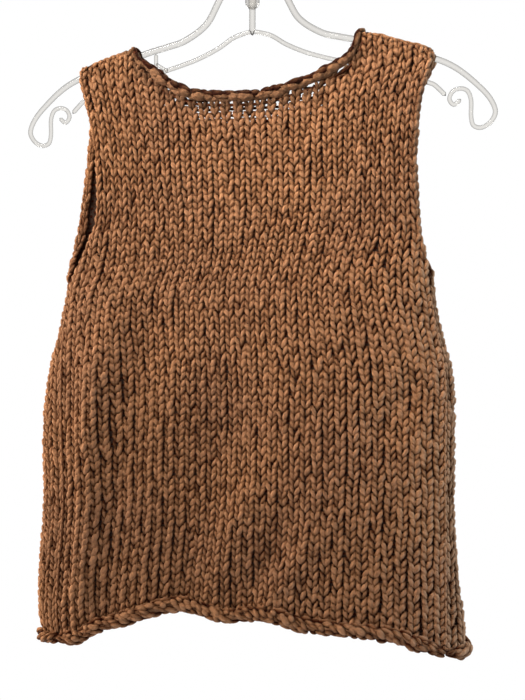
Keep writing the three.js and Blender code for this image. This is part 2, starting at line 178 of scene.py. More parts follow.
# %% Folds and panels
FRONT_FOLDS = [
    (28, -5.5, [(-98, -410), (-114, -485), (-128, -566), (-136, -650)]),
    (16, 4, [(-122, -400), (-143, -500)]),
    (26, 7, [(-150, -450), (-158, -560), (-160, -640)]),
    (42, -9, [(-25, -500), (-45, -572), (-50, -640)]),
    (14, 4, [(2, -553), (-34, -635)]),
    (14, -4, [(38, -570), (2, -640)]),
    (11, 2, [(60, -595), (25, -640)]),
    (16, -4, [(152, -456), (122, -490)]),
    (70, 5, [(50, -430), (70, -540)]),
]
BACK_FOLDS = [
    (16, -5, [(-70, -420), (-88, -530), (-92, -650)]),
    (60, 5, [(15, -470), (5, -600)]),
    (15, -4, [(112, -400), (104, -500), (118, -640)]),
    (14, -3, [(20, -540), (34, -640)]),
]
FRONT = {"sign": -1, "left": "front_left", "right": "front_right", "neck": FRONT_NECK,
         "hem": FRONT_HEM, "folds": FRONT_FOLDS}
BACK = {"sign": 1, "left": "back_left", "right": "back_right", "neck": BACK_NECK,
        "hem": BACK_HEM, "folds": BACK_FOLDS}
print("panels:", len(FRONT_FOLDS), "front folds and", len(BACK_FOLDS), "back folds")

# %% [markdown]
# Three small helpers give the cloth its smooth shapes. A smooth curve through a table's rows bends
# like a strip of wood held at each place. A soft step goes from 0 to 1 with no corner at either end,
# which is how cloth changes from one shape to another. The third is the line of the hanger's arms,
# which the shoulders follow.


# %% Helpers for smooth shapes
def smooth(keys, values, at):
    """A smooth curve through a table, read at the places given."""
    keys = np.asarray(keys, float)
    values = np.asarray(values, float)
    if keys[0] > keys[-1]:
        keys = keys[::-1]
        values = values[::-1]
    slope = np.empty_like(values)
    slope[1:-1] = (values[2:] - values[:-2]) / (keys[2:] - keys[:-2])
    slope[0] = (values[1] - values[0]) / (keys[1] - keys[0])
    slope[-1] = (values[-1] - values[-2]) / (keys[-1] - keys[-2])
    i = np.clip(np.searchsorted(keys, at, side="right") - 1, 0, len(keys) - 2)
    span = keys[i + 1] - keys[i]
    t = np.clip((at - keys[i]) / span, 0, 1)
    rising = 3 * t ** 2 - 2 * t ** 3
    return (values[i] * (1 - rising) + slope[i] * span * (t ** 3 - 2 * t ** 2 + t)
            + values[i + 1] * rising + slope[i + 1] * span * (t ** 3 - t ** 2))


def soft_step(value, start, end):
    """0 at start, 1 at end, with a soft change between them."""
    t = np.clip((value - start) / (end - start), 0, 1)
    return t * t * (3 - 2 * t)


def ridge(x):
    """The centre line of the hanger's arm, carried on inward over the neck."""
    return SHOULDER_PEAK - SHOULDER_DROP * np.abs(x)


print("arm at the shoulder's end:", round(float(ridge(165)), 1), "mm")

# %% [markdown]
# A section is a level slice of the vest. Its front and back halves are rounded curves between the
# two ends, and squarer at the right side than at the left. A place is found by its length along the
# curve, because cloth keeps its length where it bends. Working with whole arrays at once, rather
# than point by point, is what lets thousands of stitches be placed in a second.


# %% A section of the cloth
def half_section(height, sign):
    """The front or back half of the section at each height: x, y and the length along the cloth."""
    left = smooth(SECTIONS["z"], SECTIONS["left"], height)[:, None]
    right = smooth(SECTIONS["z"], SECTIONS["right"], height)[:, None]
    apart = np.maximum(smooth(SECTIONS["z"], SECTIONS["apart"], height), 0)[:, None]
    face = "front" if sign < 0 else "back"
    bulge = np.maximum(smooth(SECTIONS["z"], SECTIONS[face], height), 0)[:, None]
    reach = (right - left) / 2
    joined = np.maximum(1 - apart / JOINED_WITHIN, 0)
    roundest = joined * 2 * SIDE_FOLD_RADIUS * reach / np.maximum(bulge ** 2, 1)
    across = -np.cos(math.pi * np.arange(SECTION_SAMPLES + 1) / SECTION_SAMPLES)[None, :]
    power = np.maximum(np.where(across < 0, LEFT_SQUARENESS, RIGHT_SQUARENESS), roundest)
    x = (left + right) / 2 + reach * across
    y = sign * (apart + bulge * np.sqrt(np.maximum(1 - np.abs(across) ** power, 0)))
    steps = np.hypot(np.diff(x, axis=1), np.diff(y, axis=1))
    length = np.concatenate([np.zeros((len(height), 1)), np.cumsum(steps, axis=1)], axis=1)
    return x, y, length


def along(section, way):
    """The points a given length along a half section."""
    x, y, length = section
    row = np.arange(len(way))
    i = np.sum(length[:, 1:-1] < way[:, None], axis=1)
    t = (way - length[row, i]) / (length[row, i + 1] - length[row, i])
    return x[row, i] + (x[row, i + 1] - x[row, i]) * t, y[row, i] + (y[row, i + 1] - y[row, i]) * t


def fold_swell(folds, x, z):
    """How far the folds move the cloth at each place."""
    swell = np.zeros_like(x)
    for width, rise, path in folds:
        nearest = np.full_like(x, np.inf)
        for (x0, z0), (x1, z1) in zip(path, path[1:]):
            run = (x1 - x0, z1 - z0)
            t = np.clip(((x - x0) * run[0] + (z - z0) * run[1]) / (run[0] ** 2 + run[1] ** 2), 0, 1)
            nearest = np.minimum(nearest, np.hypot(x - x0 - t * run[0], z - z0 - t * run[1]))
        swell += rise * np.exp(-((nearest / width) ** 2))
    return swell


underarm_half = half_section(np.array([float(UNDERARM)]), FRONT["sign"])
print("front half at the underarm:", underarm_half[2][0, -1].round(1), "mm along the cloth")

# %% [markdown]
# Now the cloth's outer face. Any place on a panel is named by its share of the width and by its
# height. Below the arm the section gives the place, and the folds push it in or out. Above the arm's
# centre line the cloth bends over the arm in a quarter circle, up to the shoulder seam.


# %% The cloth's outer face
def outer_points(panel, share, height):
    """Places on a panel's outer face, in millimetres."""
    sign = panel["sign"]
    near = half_section(height, sign)
    far = half_section(height, -sign)
    near_length = near[2][:, -1]
    far_length = far[2][:, -1]
    edge = {}
    for side in ("left", "right"):
        own = smooth(SECTIONS["z"], SECTIONS[panel[side]], height)
        joint = smooth(SECTIONS["z"], SECTIONS["front_" + side], height)
        edge[side] = np.where(height < UNDERARM, joint, own)
    start = -sign * edge["left"]
    end = near_length + sign * edge["right"]
    way = start + (end - start) * share
    x, y = along(near, np.clip(way, 0, near_length))
    back_x, back_y = along(far, np.clip(np.where(way < 0, -way, far_length - (way - near_length)),
                                        0, far_length))
    wrapped = (way < 0) | (way > near_length)
    x = np.where(wrapped, back_x, x)
    y = np.where(wrapped, back_y, y)
    top = ridge(x)
    rise = height - top
    shift = sign * SEAM_GAP / 2
    inward = np.minimum(way - np.maximum(start, 0), np.minimum(end, near_length) - way)
    flat_y = y + sign * fold_swell(panel["folds"], x, height) * soft_step(inward, *FOLD_FADE) + shift
    turn = rise / SHOULDER_RADIUS
    over_y = sign * SHOULDER_RADIUS * np.cos(turn) + shift
    over_z = top + SHOULDER_RADIUS * np.sin(turn)
    over = rise > 0
    return np.stack([x, np.where(over, over_y, flat_y), np.where(over, over_z, height)], axis=-1)


def column_top(panel, x):
    """The height at which a column of the panel ends: over the arm, or at the neck edge."""
    neck_x = [NECK_LEFT, *panel["neck"]["x"], NECK_RIGHT]
    neck_z = [ridge(NECK_LEFT) + OVER_THE_ARM, *panel["neck"]["z"], ridge(NECK_RIGHT) + OVER_THE_ARM]
    in_neck = (x > NECK_LEFT) & (x < NECK_RIGHT)
    return np.where(in_neck, smooth(neck_x, neck_z, x), ridge(x) + OVER_THE_ARM)


print("cloth over the arm:", round(OVER_THE_ARM, 1), "mm to the shoulder seam")

# %% [markdown]
# A knitter counts wales, the upright ribs of stitches, and courses, the rows. The two counts are the
# vest's own grid, so a stitch is placed by its wale and its course. The courses don't run level: the
# cloth hangs from two shoulders, so they sag between them like a washing line, and lower down they
# bow the other way and follow the hem.

# %% Count the stitches
COURSES = 76
UNDERARM_COURSE = 48
FRONT.update(wales=35, turned=1, curl=4.2, yarn_sides=6)
BACK.update(wales=41, turned=2, curl=4.8, yarn_sides=5)
UNDERARM_ARCH = 20
COURSE_SAG = 26
SHOULDER_END = 165
FIRST_COURSE_RISE = 9
SPARE_COURSES = 8


def course_levels(x):
    """The heights of the underarm course and of the last whole course."""
    far = np.abs(x) / SHOULDER_END
    underarm = UNDERARM + UNDERARM_ARCH * (1 - far ** 2)
    last = ridge(SHOULDER_END) + OVER_THE_ARM - COURSE_SAG * (1 - far ** 3)
    return underarm, last


print(COURSES, "courses,", FRONT["wales"], "wales in front and", BACK["wales"], "behind")

# %% [markdown]
# A chart is the knitter's map of the cloth. Here each panel gets one: a grid of places on its
# surface, worked out once. A stitch then reads the four nearest places, which is far quicker than
# working out the section and the folds again for every loop.

# %% Chart the surface
GRID_STEPS = {"share": 140, "course": 190}


def column_x(panel, share):
    """How far across the chest a column of the panel stands, from its share of the width."""
    left, right = panel["x_ends"]
    return left + (right - left) * share


def column_share(panel, x):
    """The share of the width at which a column stands."""
    left, right = panel["x_ends"]
    return (x - left) / (right - left)


def top_at(panel, share):
    """The course at which a column ends."""
    return np.interp(share, np.linspace(0, 1, len(panel["top_course"])), panel["top_course"])


def chart(panel):
    """Fills in the panel's grid of places, and the course at which each column ends."""
    level = np.array([float(SECTION_ROWS[0][0])])
    panel["x_ends"] = [outer_points(panel, np.array([s]), level)[0, 0] for s in (0.0, 1.0)]
    share = np.linspace(0, 1, GRID_STEPS["share"] + 1)
    course = np.linspace(-1, COURSES + SPARE_COURSES, GRID_STEPS["course"] + 1)
    x = column_x(panel, share)
    foot = smooth(panel["hem"]["share"], panel["hem"]["z"], share) + FIRST_COURSE_RISE
    underarm, last = course_levels(x)
    low_pitch = (underarm - foot) / UNDERARM_COURSE
    high_pitch = (last - underarm) / (COURSES - UNDERARM_COURSE)
    above = course[None, :] - UNDERARM_COURSE
    pitch = np.where(above < 0, low_pitch[:, None], high_pitch[:, None])
    height = underarm[:, None] + pitch * above
    places = outer_points(panel, np.repeat(share, len(course)), height.ravel())
    panel["grid"] = places.reshape(len(share), len(course), 3)
    panel["course_span"] = (course[0], course[-1])
    panel["top_course"] = UNDERARM_COURSE + (column_top(panel, x) - underarm) / high_pitch
    across = np.gradient(panel["grid"], share, axis=0)
    up = np.gradient(panel["grid"], course, axis=1)
    panel["width"] = np.linalg.norm(across, axis=2)
    panel["across"] = across / panel["width"][..., None]
    normal = np.cross(panel["across"], up)
    normal /= np.linalg.norm(normal, axis=2)[..., None]
    panel["normal"] = normal if panel["sign"] < 0 else -normal
    print(panel["left"], "course pitch", pitch.min().round(2), "to", pitch.max().round(2), "mm")


chart(FRONT)
chart(BACK)

# %% [markdown]
# The wales aren't equally wide. In the middle of the body they lie a little closer, and under the
# neck, where the shoulders pull, a little wider. At the armholes nothing holds the cloth's edge, so
# it curls back on itself, as stockinette does. A place past the edge is therefore turned round a
# small circle, and the wales that lie there show their sides.

# %% Find places in the cloth
BODY_SPREAD = -0.04
NECK_SPREAD = 0.14
NECK_SPREAD_COURSES = (0.6 * COURSES, 0.85 * COURSES)
HEM_DRIFT = 0.018
HEM_DRIFT_COURSES = (0, 0.55 * COURSES)
TURNED_OVER = 8


def wale_share(panel, wale, course):
    """The share of the width at which a place, counted in wales, lies."""
    share = wale / panel["wales"]
    yoke = soft_step(course, UNDERARM_COURSE, UNDERARM_COURSE + TURNED_OVER)
    widening = panel["wales"] / (panel["wales"] - 2 * panel["turned"]) - 1
    share = 0.5 + (share - 0.5) * (1 + widening * yoke)
    spread = BODY_SPREAD + (NECK_SPREAD - BODY_SPREAD) * soft_step(course, *NECK_SPREAD_COURSES)
    share = share - spread * np.sin(2 * math.pi * share) / (2 * math.pi)
    foot = 1 - soft_step(course, *HEM_DRIFT_COURSES)
    return share - HEM_DRIFT * foot * np.sin(math.pi * np.clip(share, 0, 1))


def read_grid(panel, name, share, course):
    """Reads one of the panel's grids between its places."""
    values = panel[name]
    low, high = panel["course_span"]
    a = np.clip(share, 0, 1) * GRID_STEPS["share"]
    b = np.clip((course - low) / (high - low), 0, 1) * GRID_STEPS["course"]
    i = np.minimum(a.astype(int), GRID_STEPS["share"] - 1)
    k = np.minimum(b.astype(int), GRID_STEPS["course"] - 1)
    s = a - i
    t = b - k
    if values.ndim == 3:
        s = s[..., None]
        t = t[..., None]
    lower = values[i, k] * (1 - s) + values[i + 1, k] * s
    upper = values[i, k + 1] * (1 - s) + values[i + 1, k + 1] * s
    return lower * (1 - t) + upper * t


def cloth_place(panel, share, course, lift):
    """Places in the cloth, lift millimetres out of its outer face, and the way out of it there.

    Past the armhole edge the cloth curls back on itself, with the curl's radius.
    """
    curl = panel["curl"]
    width = read_grid(panel, "width", share, course)
    inset = curl * soft_step(course, UNDERARM_COURSE, UNDERARM_COURSE + TURNED_OVER) / width
    inside = np.clip(share, inset, 1 - inset)
    past = (share - inside) * width
    turn = np.abs(past) / curl
    place = read_grid(panel, "grid", inside, course)
    normal = read_grid(panel, "normal", inside, course)
    normal /= np.linalg.norm(normal, axis=-1)[..., None]
    across = read_grid(panel, "across", inside, course) * np.sign(past)[..., None]
    sine = np.sin(turn)[..., None]
    cosine = np.cos(turn)[..., None]
    outward = normal * cosine + across * sine
    place = place + curl * (across * sine + normal * (cosine - 1))
    return place + outward * lift[..., None], outward


middle, _ = cloth_place(FRONT, np.array([0.5]), np.array([float(UNDERARM_COURSE)]), np.zeros(1))
print("middle of the front at the underarm:", middle[0].round(1), "mm")

# %% [markdown]
# Yarn is a tube along a path. Blender can bevel a curve into one, but it then chooses how the tube's
# cross-section turns. Here each ring is turned to face out of the cloth, so that a few corners are
# enough to look round, and each corner knows how deep it lies and how far along the yarn it is. The
# material reads both.

# %% Build a yarn tube
SEED = 18
YARN_SIDES = 6
SMALLEST_LENGTH = 1e-6
random = np.random.default_rng(SEED)


def tube(points, outward, radius, depth, along_start, tint_and_painted_shade, sides=YARN_SIDES):
    """One yarn: its corners, faces and end caps, and five numbers for each corner.

    They are its depth, the way along the yarn, where it stands round the yarn (two) and its tint,
    which is random tone with painted shade added.
    """
    tangent = np.gradient(points, axis=0)
    tangent /= np.linalg.norm(tangent, axis=1)[:, None]
    side = np.cross(tangent, outward)
    side /= np.maximum(np.linalg.norm(side, axis=1), SMALLEST_LENGTH)[:, None]
    out = np.cross(side, tangent)
    angle = 2 * math.pi * np.arange(sides) / sides
    cosine = np.cos(angle)
    sine = np.sin(angle)
    spoke = out[:, None, :] * cosine[None, :, None] + side[:, None, :] * sine[None, :, None]
    corners = points[:, None, :] + spoke * radius[:, None, None]
    facing = np.sum(spoke * outward[:, None, :], axis=2)
    corner_depth = depth[:, None] + facing * radius[:, None]
    steps = np.linalg.norm(np.diff(points, axis=0), axis=1)
    way = along_start + np.concatenate([[0], np.cumsum(steps)])
    count = len(points)
    ring = np.arange(count - 1)[:, None] * sides
    ahead = ring + sides
    k = np.arange(sides)[None, :]
    following = (k + 1) % sides
    quads = np.stack([ring + k, ring + following, ahead + following, ahead + k], axis=2)
    data = np.stack([corner_depth.ravel(), np.repeat(way, sides), np.tile(cosine, count),
                     np.tile(sine, count), np.repeat(tint_and_painted_shade, sides)], axis=1)
    last = (count - 1) * sides
    caps = [list(range(sides))[::-1], [last + i for i in range(sides)]]
    return corners.reshape(-1, 3), quads.reshape(-1, 4), caps, data


print("yarn tubes have", YARN_SIDES, "sides")

# %% [markdown]
# More than a thousand yarns as objects of their own would be slow to draw and hard to handle. A pile
# collects them, and makes them one mesh in a single step. The five numbers of each corner become
# attributes of the mesh, which a material can read by name.

# %% Join yarns into a piece
CORNER_NUMBERS = ("depth", "along", "facing_out", "facing_side", "tint_and_painted_shade")


def finish_mesh(mesh):
    """Mends a mesh if it needs it, and shades it softly."""
    mesh.validate()
    mesh.polygons.foreach_set("use_smooth", np.ones(len(mesh.polygons), bool))


class YarnPile:
    """Collects yarns and joins them into one mesh."""

    def __init__(self):
        self.vertices = []
        self.quads = []
        self.caps = []
        self.data = []
        self.count = 0

    def add(self, vertices, quads, caps, data):
        self.vertices.append(vertices)
        self.quads.append(quads + self.count)
        self.caps += [[corner + self.count for corner in cap] for cap in caps]
        self.data.append(data)
        self.count += len(vertices)

    def piece(self, name):
        """Makes the joined yarns into a piece, in metres."""
        vertices = np.concatenate(self.vertices) * MM
        quads = np.concatenate(self.quads)
        data = np.concatenate(self.data)
        loops = np.concatenate([quads.ravel(), np.array([c for cap in self.caps for c in cap], int)])
        sizes = np.concatenate([np.full(len(quads), 4), np.array([len(cap) for cap in self.caps], int)])
        mesh = bpy.data.meshes.new(name)
        mesh.vertices.add(len(vertices))
        mesh.vertices.foreach_set("co", vertices.ravel())
        mesh.loops.add(len(loops))
        mesh.loops.foreach_set("vertex_index", loops.astype(np.int32))
        mesh.polygons.add(len(sizes))
        starts = np.concatenate([[0], np.cumsum(sizes)[:-1]])
        mesh.polygons.foreach_set("loop_start", starts.astype(np.int32))
        mesh.update(calc_edges=True)
        finish_mesh(mesh)
        for i, label in enumerate(CORNER_NUMBERS):
            attribute = mesh.attributes.new(label, "FLOAT", "POINT")
            attribute.data.foreach_set("value", data[:, i].astype(np.float32))
        triangles = 2 * len(quads) + sum(len(cap) - 2 for cap in self.caps)
        print(name, "has", triangles, "triangles")
        return in_scene(name, mesh)


print("each corner stores", ", ".join(CORNER_NUMBERS))

# %% [markdown]
# One stitch is a loop. Its yarn comes from behind, climbs the front as one leg, goes over the head
# behind the next stitch, and comes down the front as the other leg. The two legs are the V of
# stockinette, and the heads and the strands between stitches are the bumps inside. The table below
# is half a stitch: the way across in wales, the way up in courses, the depth and the yarn's radius.
# The yarn is fat where nothing presses it and thin where it dives.

# %% Shape one stitch
HALF_STITCH = [
    (-0.50, -0.16, -4.6, 1.4),
    (-0.14, -0.16, -3.6, 1.2),
    (-0.08, 0.08, -2.4, 1.6),
    (-0.18, 0.44, -1.75, 2.05),
    (-0.29, 0.84, -1.5, 2.1),
    (-0.41, 1.22, -2.4, 1.45),
]
STITCH_HEAD = (0.0, 1.30, -4.7, 1.5)
EDGE_TURN = [
    (-0.42, 0.62, -3.8, 1.4),
    (-0.50, 0.22, -3.2, 1.5),
]
NUDGE = {"across": 0.03, "up": 0.07, "lift": 0.3, "radius": 0.1, "lean": 0.12}
NUDGE_SHARE = np.array([0, 0.4, 1, 1, 1, 0.6, 0.3, 0.6, 1, 1, 1, 0.4])

left_half = np.array(HALF_STITCH)
right_half = left_half[::-1] * np.array([-1, 1, 1, 1])
STITCH = np.concatenate([left_half, [STITCH_HEAD], right_half[:-1]])
LEG = np.array([0] * len(left_half) + [1] * len(left_half))
print("a stitch has", len(STITCH), "places along its yarn")

# %% [markdown]
# Hand knitting is uneven. Ribs drift a little from side to side, and every leg of a stitch is nudged
# by seeded numbers, which are the same in each run. Toward the lower left the cloth hangs on the
# bias, so there one leg of each V leans, fattens and covers the other. That is skew.

# %% Make the stitches uneven
WANDER = 0.055
WANDER_REACH = (9, 4)
NOISE_FREEDOM = 6
NOISE_LIMIT = 2.8
INNER_WALE = 0.45
SKEW = {"right": 0.3, "left": -0.35, "right_radius": 0.12, "left_radius": -0.16, "left_lift": -0.5}


def drift_table(panel):
    """A slow seeded drift of the ribs, in wales, in which neighbours move much alike."""
    steps = random.normal(size=(panel["wales"], COURSES + SPARE_COURSES))
    for axis, reach in ((1, WANDER_REACH[0]), (0, WANDER_REACH[1])):
        blur = np.ones(reach) / math.sqrt(reach)
        steps = np.apply_along_axis(np.convolve, axis, steps, blur, mode="same")
    return WANDER * steps


def stitch_places(skew):
    """The yarn's places for one run of stitches, as across, course, lift and radius."""
    count = len(skew)
    places = np.tile(STITCH[None], (count, 1, 1))
    noise = random.standard_t(NOISE_FREEDOM, size=(count, 2, 5))
    noise = np.clip(noise, -NOISE_LIMIT, NOISE_LIMIT)[:, LEG, :] * NUDGE_SHARE[None, :, None]
    right = LEG[None, :] * np.ones((count, 1))
    lean = 1 + NUDGE["lean"] * noise[..., 4]
    lean *= 1 + skew[:, None] * np.where(right > 0, SKEW["right"], SKEW["left"])
    inner = np.abs(places[..., 0]) < INNER_WALE
    leaned = np.where(inner, places[..., 0] * lean, places[..., 0])
    places[..., 0] = leaned + NUDGE["across"] * noise[..., 0]
    places[..., 1] += NUDGE["up"] * noise[..., 1]
    places[..., 2] += NUDGE["lift"] * noise[..., 2] + skew[:, None] * (1 - right) * inner * SKEW["left_lift"]
    places[..., 3] *= 1 + NUDGE["radius"] * noise[..., 3]
    fatter = np.where(right > 0, SKEW["right_radius"], SKEW["left_radius"])
    places[..., 3] *= 1 + skew[:, None] * inner * fatter
    return places, inner


print("ribs drift by about", WANDER, "of a wale")

# %% [markdown]
# A course is one yarn from edge to edge. At an edge the yarn turns up toward the next course, which
# makes the small bumps of a knitted edge. Under the neck the bound edge pulls the ribs apart, so
# there the stitches are narrower than their places and the white behind shows through as small
# ladders. At the shoulders the last courses are pressed flat over the hanger's arms.

# %% Knit one course
LADDER_FADE = (0.3, 1.0)
LADDER_NARROWING = 0.2
LADDER_REACH = (78, 97)
LADDER_MIDDLE = 3
LADDER_STRAND = 0.95
LAST_COURSES = (0.6, 2.6)
# Under the neck edge the last courses are painted darker, as the shadow of the edge.
PAINTED_SHADOW_COURSES = (1.0, 2.8)
FLATTENED = 1.1
NECK_PAINTED_SHADOW = 9
USUAL_WALE = 9.9
WALE_LIMITS = (0.84, 1.12)
SKEW_ACROSS = (90, -150)
SKEW_COURSES = (50, 22)
BACK_SKEW = 0.3
LATEST_START = 500


def run_of_stitches(panel, pile, course, first, last):
    """Lays one course's yarn through the wales from first to last."""
    wale = np.arange(first, last + 1)
    share_mid = wale_share(panel, wale + 0.5, float(course))
    x = column_x(panel, share_mid)
    level = np.full(len(wale), float(course))
    skew = soft_step(x, *SKEW_ACROSS) * soft_step(level, *SKEW_COURSES)
    if panel["sign"] > 0:
        skew = BACK_SKEW * skew
    places, inner = stitch_places(skew)
    below_top = top_at(panel, share_mid) - course
    ladder = 1 - soft_step(below_top / panel["ladder"][wale], *LADDER_FADE)
    ladder *= 1 - soft_step(np.abs(x - LADDER_MIDDLE), *LADDER_REACH)
    squeeze = 1 - LADDER_NARROWING * ladder[:, None] * inner
    across = wale[:, None] + 0.5 + places[..., 0] * squeeze + panel["drift"][wale, course][:, None]
    thin = 1 - ladder[:, None] * (1 - LADDER_STRAND) * ~inner
    width = np.gradient(wale_share(panel, np.arange(first, last + 2.0), float(course)))[:-1]
    width = width * read_grid(panel, "width", share_mid, level) / USUAL_WALE
    thin = thin * np.clip(width, *WALE_LIMITS)[:, None]
    table = np.stack([across, course + places[..., 1], places[..., 2], places[..., 3] * thin], axis=-1)
    in_neck = (x > NECK_LEFT) & (x < NECK_RIGHT)
    last_courses = 1 - soft_step(below_top, *LAST_COURSES)
    table[..., 2] -= (FLATTENED * last_courses * ~in_neck)[:, None]
    # Painted shadow of the neck edge on the last courses below it.
    painted_shadow = (1 - soft_step(below_top, *PAINTED_SHADOW_COURSES)) * in_neck
    tint_and_painted_shade = random.normal(size=(len(wale), 2)) - (NECK_PAINTED_SHADOW * painted_shadow)[:, None]
    tint_and_painted_shade = np.repeat(tint_and_painted_shade, len(HALF_STITCH), axis=1)
    ends = []
    for index, direction in ((first, 1), (last, -1)):
        turn = np.array(EDGE_TURN)
        turn[:, 0] = index + 0.5 + turn[:, 0] * direction
        turn[:, 1] += course
        ends.append(turn)
    last_strand = np.array([[last + 1.0, course + HALF_STITCH[0][1], *HALF_STITCH[0][2:]]])
    table = np.concatenate([ends[0], table.reshape(-1, 4), last_strand, ends[1][::-1]])
    share = wale_share(panel, table[:, 0], table[:, 1])
    points, outward = cloth_place(panel, share, table[:, 1], table[:, 2])
    tints_and_painted_shade = np.concatenate([np.zeros(len(ends[0])), tint_and_painted_shade.ravel(), np.zeros(1 + len(ends[1]))])
    start = random.uniform(0, LATEST_START)
    pile.add(*tube(points, outward, table[:, 3], table[:, 2], start, tints_and_painted_shade, panel["yarn_sides"]))


print("a usual wale is", USUAL_WALE, "mm wide")

# %% [markdown]
# Each panel is knitted from the hem up, as a knitter would. Where the neck cuts a course in two,
# each side is a yarn of its own. A panel has well over two thousand stitches, so it is made in
# three bands, and each band is a mesh that stays easy to handle.

# %% Knit the panels
LADDER_DEPTH = (1.6, 6.0)
TOP_SHARE = 0.85
SHORT_OF_NECK = 0.3
SHORT_OF_SHOULDER = 1.0
OPEN_PLACE = 87
OPEN_COURSES = 1.2
BANDS = 3


def knit(panel, name):
    """Knits a panel from the hem up, in bands that are separate pieces."""
    panel["drift"] = drift_table(panel)
    panel["ladder"] = random.uniform(*LADDER_DEPTH, size=panel["wales"])
    middles = wale_share(panel, np.arange(panel["wales"]) + 0.5, TOP_SHARE * COURSES)
    top = top_at(panel, middles)
    x = column_x(panel, middles)
    short_of_top = np.where((x > NECK_LEFT) & (x < NECK_RIGHT), SHORT_OF_NECK, SHORT_OF_SHOULDER)
    if panel["sign"] < 0:
        short_of_top[np.argmin(np.abs(x - OPEN_PLACE))] += OPEN_COURSES
    pieces = []
    for band, courses in enumerate(np.array_split(np.arange(int(top.max())), BANDS)):
        pile = YarnPile()
        for course in courses:
            alive = course + short_of_top <= top
            edges = np.flatnonzero(np.diff(np.concatenate([[0], alive.astype(int), [0]])))
            for first, stop in zip(edges[::2], edges[1::2]):
                run_of_stitches(panel, pile, course, first, stop - 1)
        pieces.append(pile.piece(f"{name}_courses_{band + 1}"))
    return pieces


front_yarn = knit(FRONT, "front")
back_yarn = knit(BACK, "back")

# %% [markdown]
# Behind the legs lies the cloth's inner layer, where the heads and strands cross and the wool fills
# every gap. It is a thin shell in the middle of the cloth. It stops below the ladders under the
# neck, so that they stay open.

# %% Line the panels with their inner layer
SHELL_LIFTS = (-3.5, -4.7)
SHELL_STEPS = (72, 64)
SHELL_SHARES = (0.004, 0.996)
SHELL_FOOT_COURSE = -0.6
SHELL_SHORT_OF_EDGE = 0.8
SHELL_SHORT_OF_NECK = 4.5


def inner_layer(panel, name):
    """The thin shell inside a panel, closed all round, and its area in square metres."""
    shares = np.linspace(*SHELL_SHARES, SHELL_STEPS[0] + 1)
    open_part = 1 - soft_step(np.abs(column_x(panel, shares) - LADDER_MIDDLE), *LADDER_REACH)
    top = top_at(panel, shares) - SHELL_SHORT_OF_EDGE - SHELL_SHORT_OF_NECK * open_part
    steps = np.linspace(0, 1, SHELL_STEPS[1] + 1)
    course = SHELL_FOOT_COURSE + (top[:, None] - SHELL_FOOT_COURSE) * steps[None, :]
    share = np.repeat(shares[:, None], len(steps), axis=1)
    sheets = []
    for lift in SHELL_LIFTS:
        place, _ = cloth_place(panel, share, course, np.full(share.shape, lift))
        sheets.append(place.reshape(-1, 3))
    corner = np.arange(share.size).reshape(share.shape)
    quad = [corner[:-1, :-1], corner[1:, :-1], corner[1:, 1:], corner[:-1, 1:]]
    quad = np.stack(quad, axis=-1).reshape(-1, 4)
    rim = np.concatenate([corner[:, 0], corner[-1, 1:], corner[-2::-1, -1], corner[0, -2:0:-1]])
    ahead = np.roll(rim, -1)
    wall = np.stack([ahead, rim, rim + share.size, ahead + share.size], axis=-1)
    faces = np.concatenate([quad, quad[:, ::-1] + share.size, wall])
    if panel["sign"] > 0:
        faces = faces[:, ::-1]
    mesh = bpy.data.meshes.new(name)
    mesh.from_pydata((np.concatenate(sheets) * MM).tolist(), [], faces.tolist())
    finish_mesh(mesh)
    areas = np.array([polygon.area for polygon in mesh.polygons])
    area = float(areas[:len(quad)].sum())
    print(name, "covers", round(area, 3), "square metres")
    return in_scene(name, mesh), area


front_layer, front_area = inner_layer(FRONT, "front_inner_layer")
back_layer, back_area = inner_layer(BACK, "back_inner_layer")

# %% [markdown]
# The hem curls outward by itself, as stockinette does, and shows the bumps of its other side. The
# neck has a bound edge, which is a chain of stitches lying along it, and the seams are chains too.
# All of them read as a rope of fat slanting lumps, so one function makes them: short spindles of
# yarn laid round a plain core, in rows that are offset like bricks.

# %% Make a rope of slanting lumps
LUMP_STEPS = 8
LUMP_NUDGE = {"place": 0.08, "length": 0.12, "angle": 5, "climb": 0.25, "radius": 0.1, "sink": 0.12}
LUMP_NOISE_LIMIT = 2
LUMP_TAPER = 0.95
LUMP_END_SINK = 0.35
# These depths only set how dark the lumps are painted, as shade: the ends that tuck under and the core are
# darker.
LEAST_DEPTH = 0.7
END_DEPTH = 2.0
DEPTH_PER_RADIUS = 0.5
CORE_DEPTH = -4.0
CORE_SIDES = 8
PAST_THE_END = 0.01


def way_along(points):
    """The distance along a line at each of its places."""
    return np.concatenate([[0], np.cumsum(np.linalg.norm(np.diff(points, axis=0), axis=1))])


def frames_along(points, outward):
    """For each place of a line: the direction out of the cloth, and across it."""
    ahead = np.gradient(points, axis=0)
    ahead /= np.linalg.norm(ahead, axis=1)[:, None]
    out = outward - ahead * np.sum(outward * ahead, axis=1)[:, None]
    out /= np.linalg.norm(out, axis=1)[:, None]
    return out, np.cross(ahead, out)


def read_line(at, way, values):
    """Reads a line's values between its places."""
    return np.stack([np.interp(at, way, values[:, i]) for i in range(3)], axis=1)


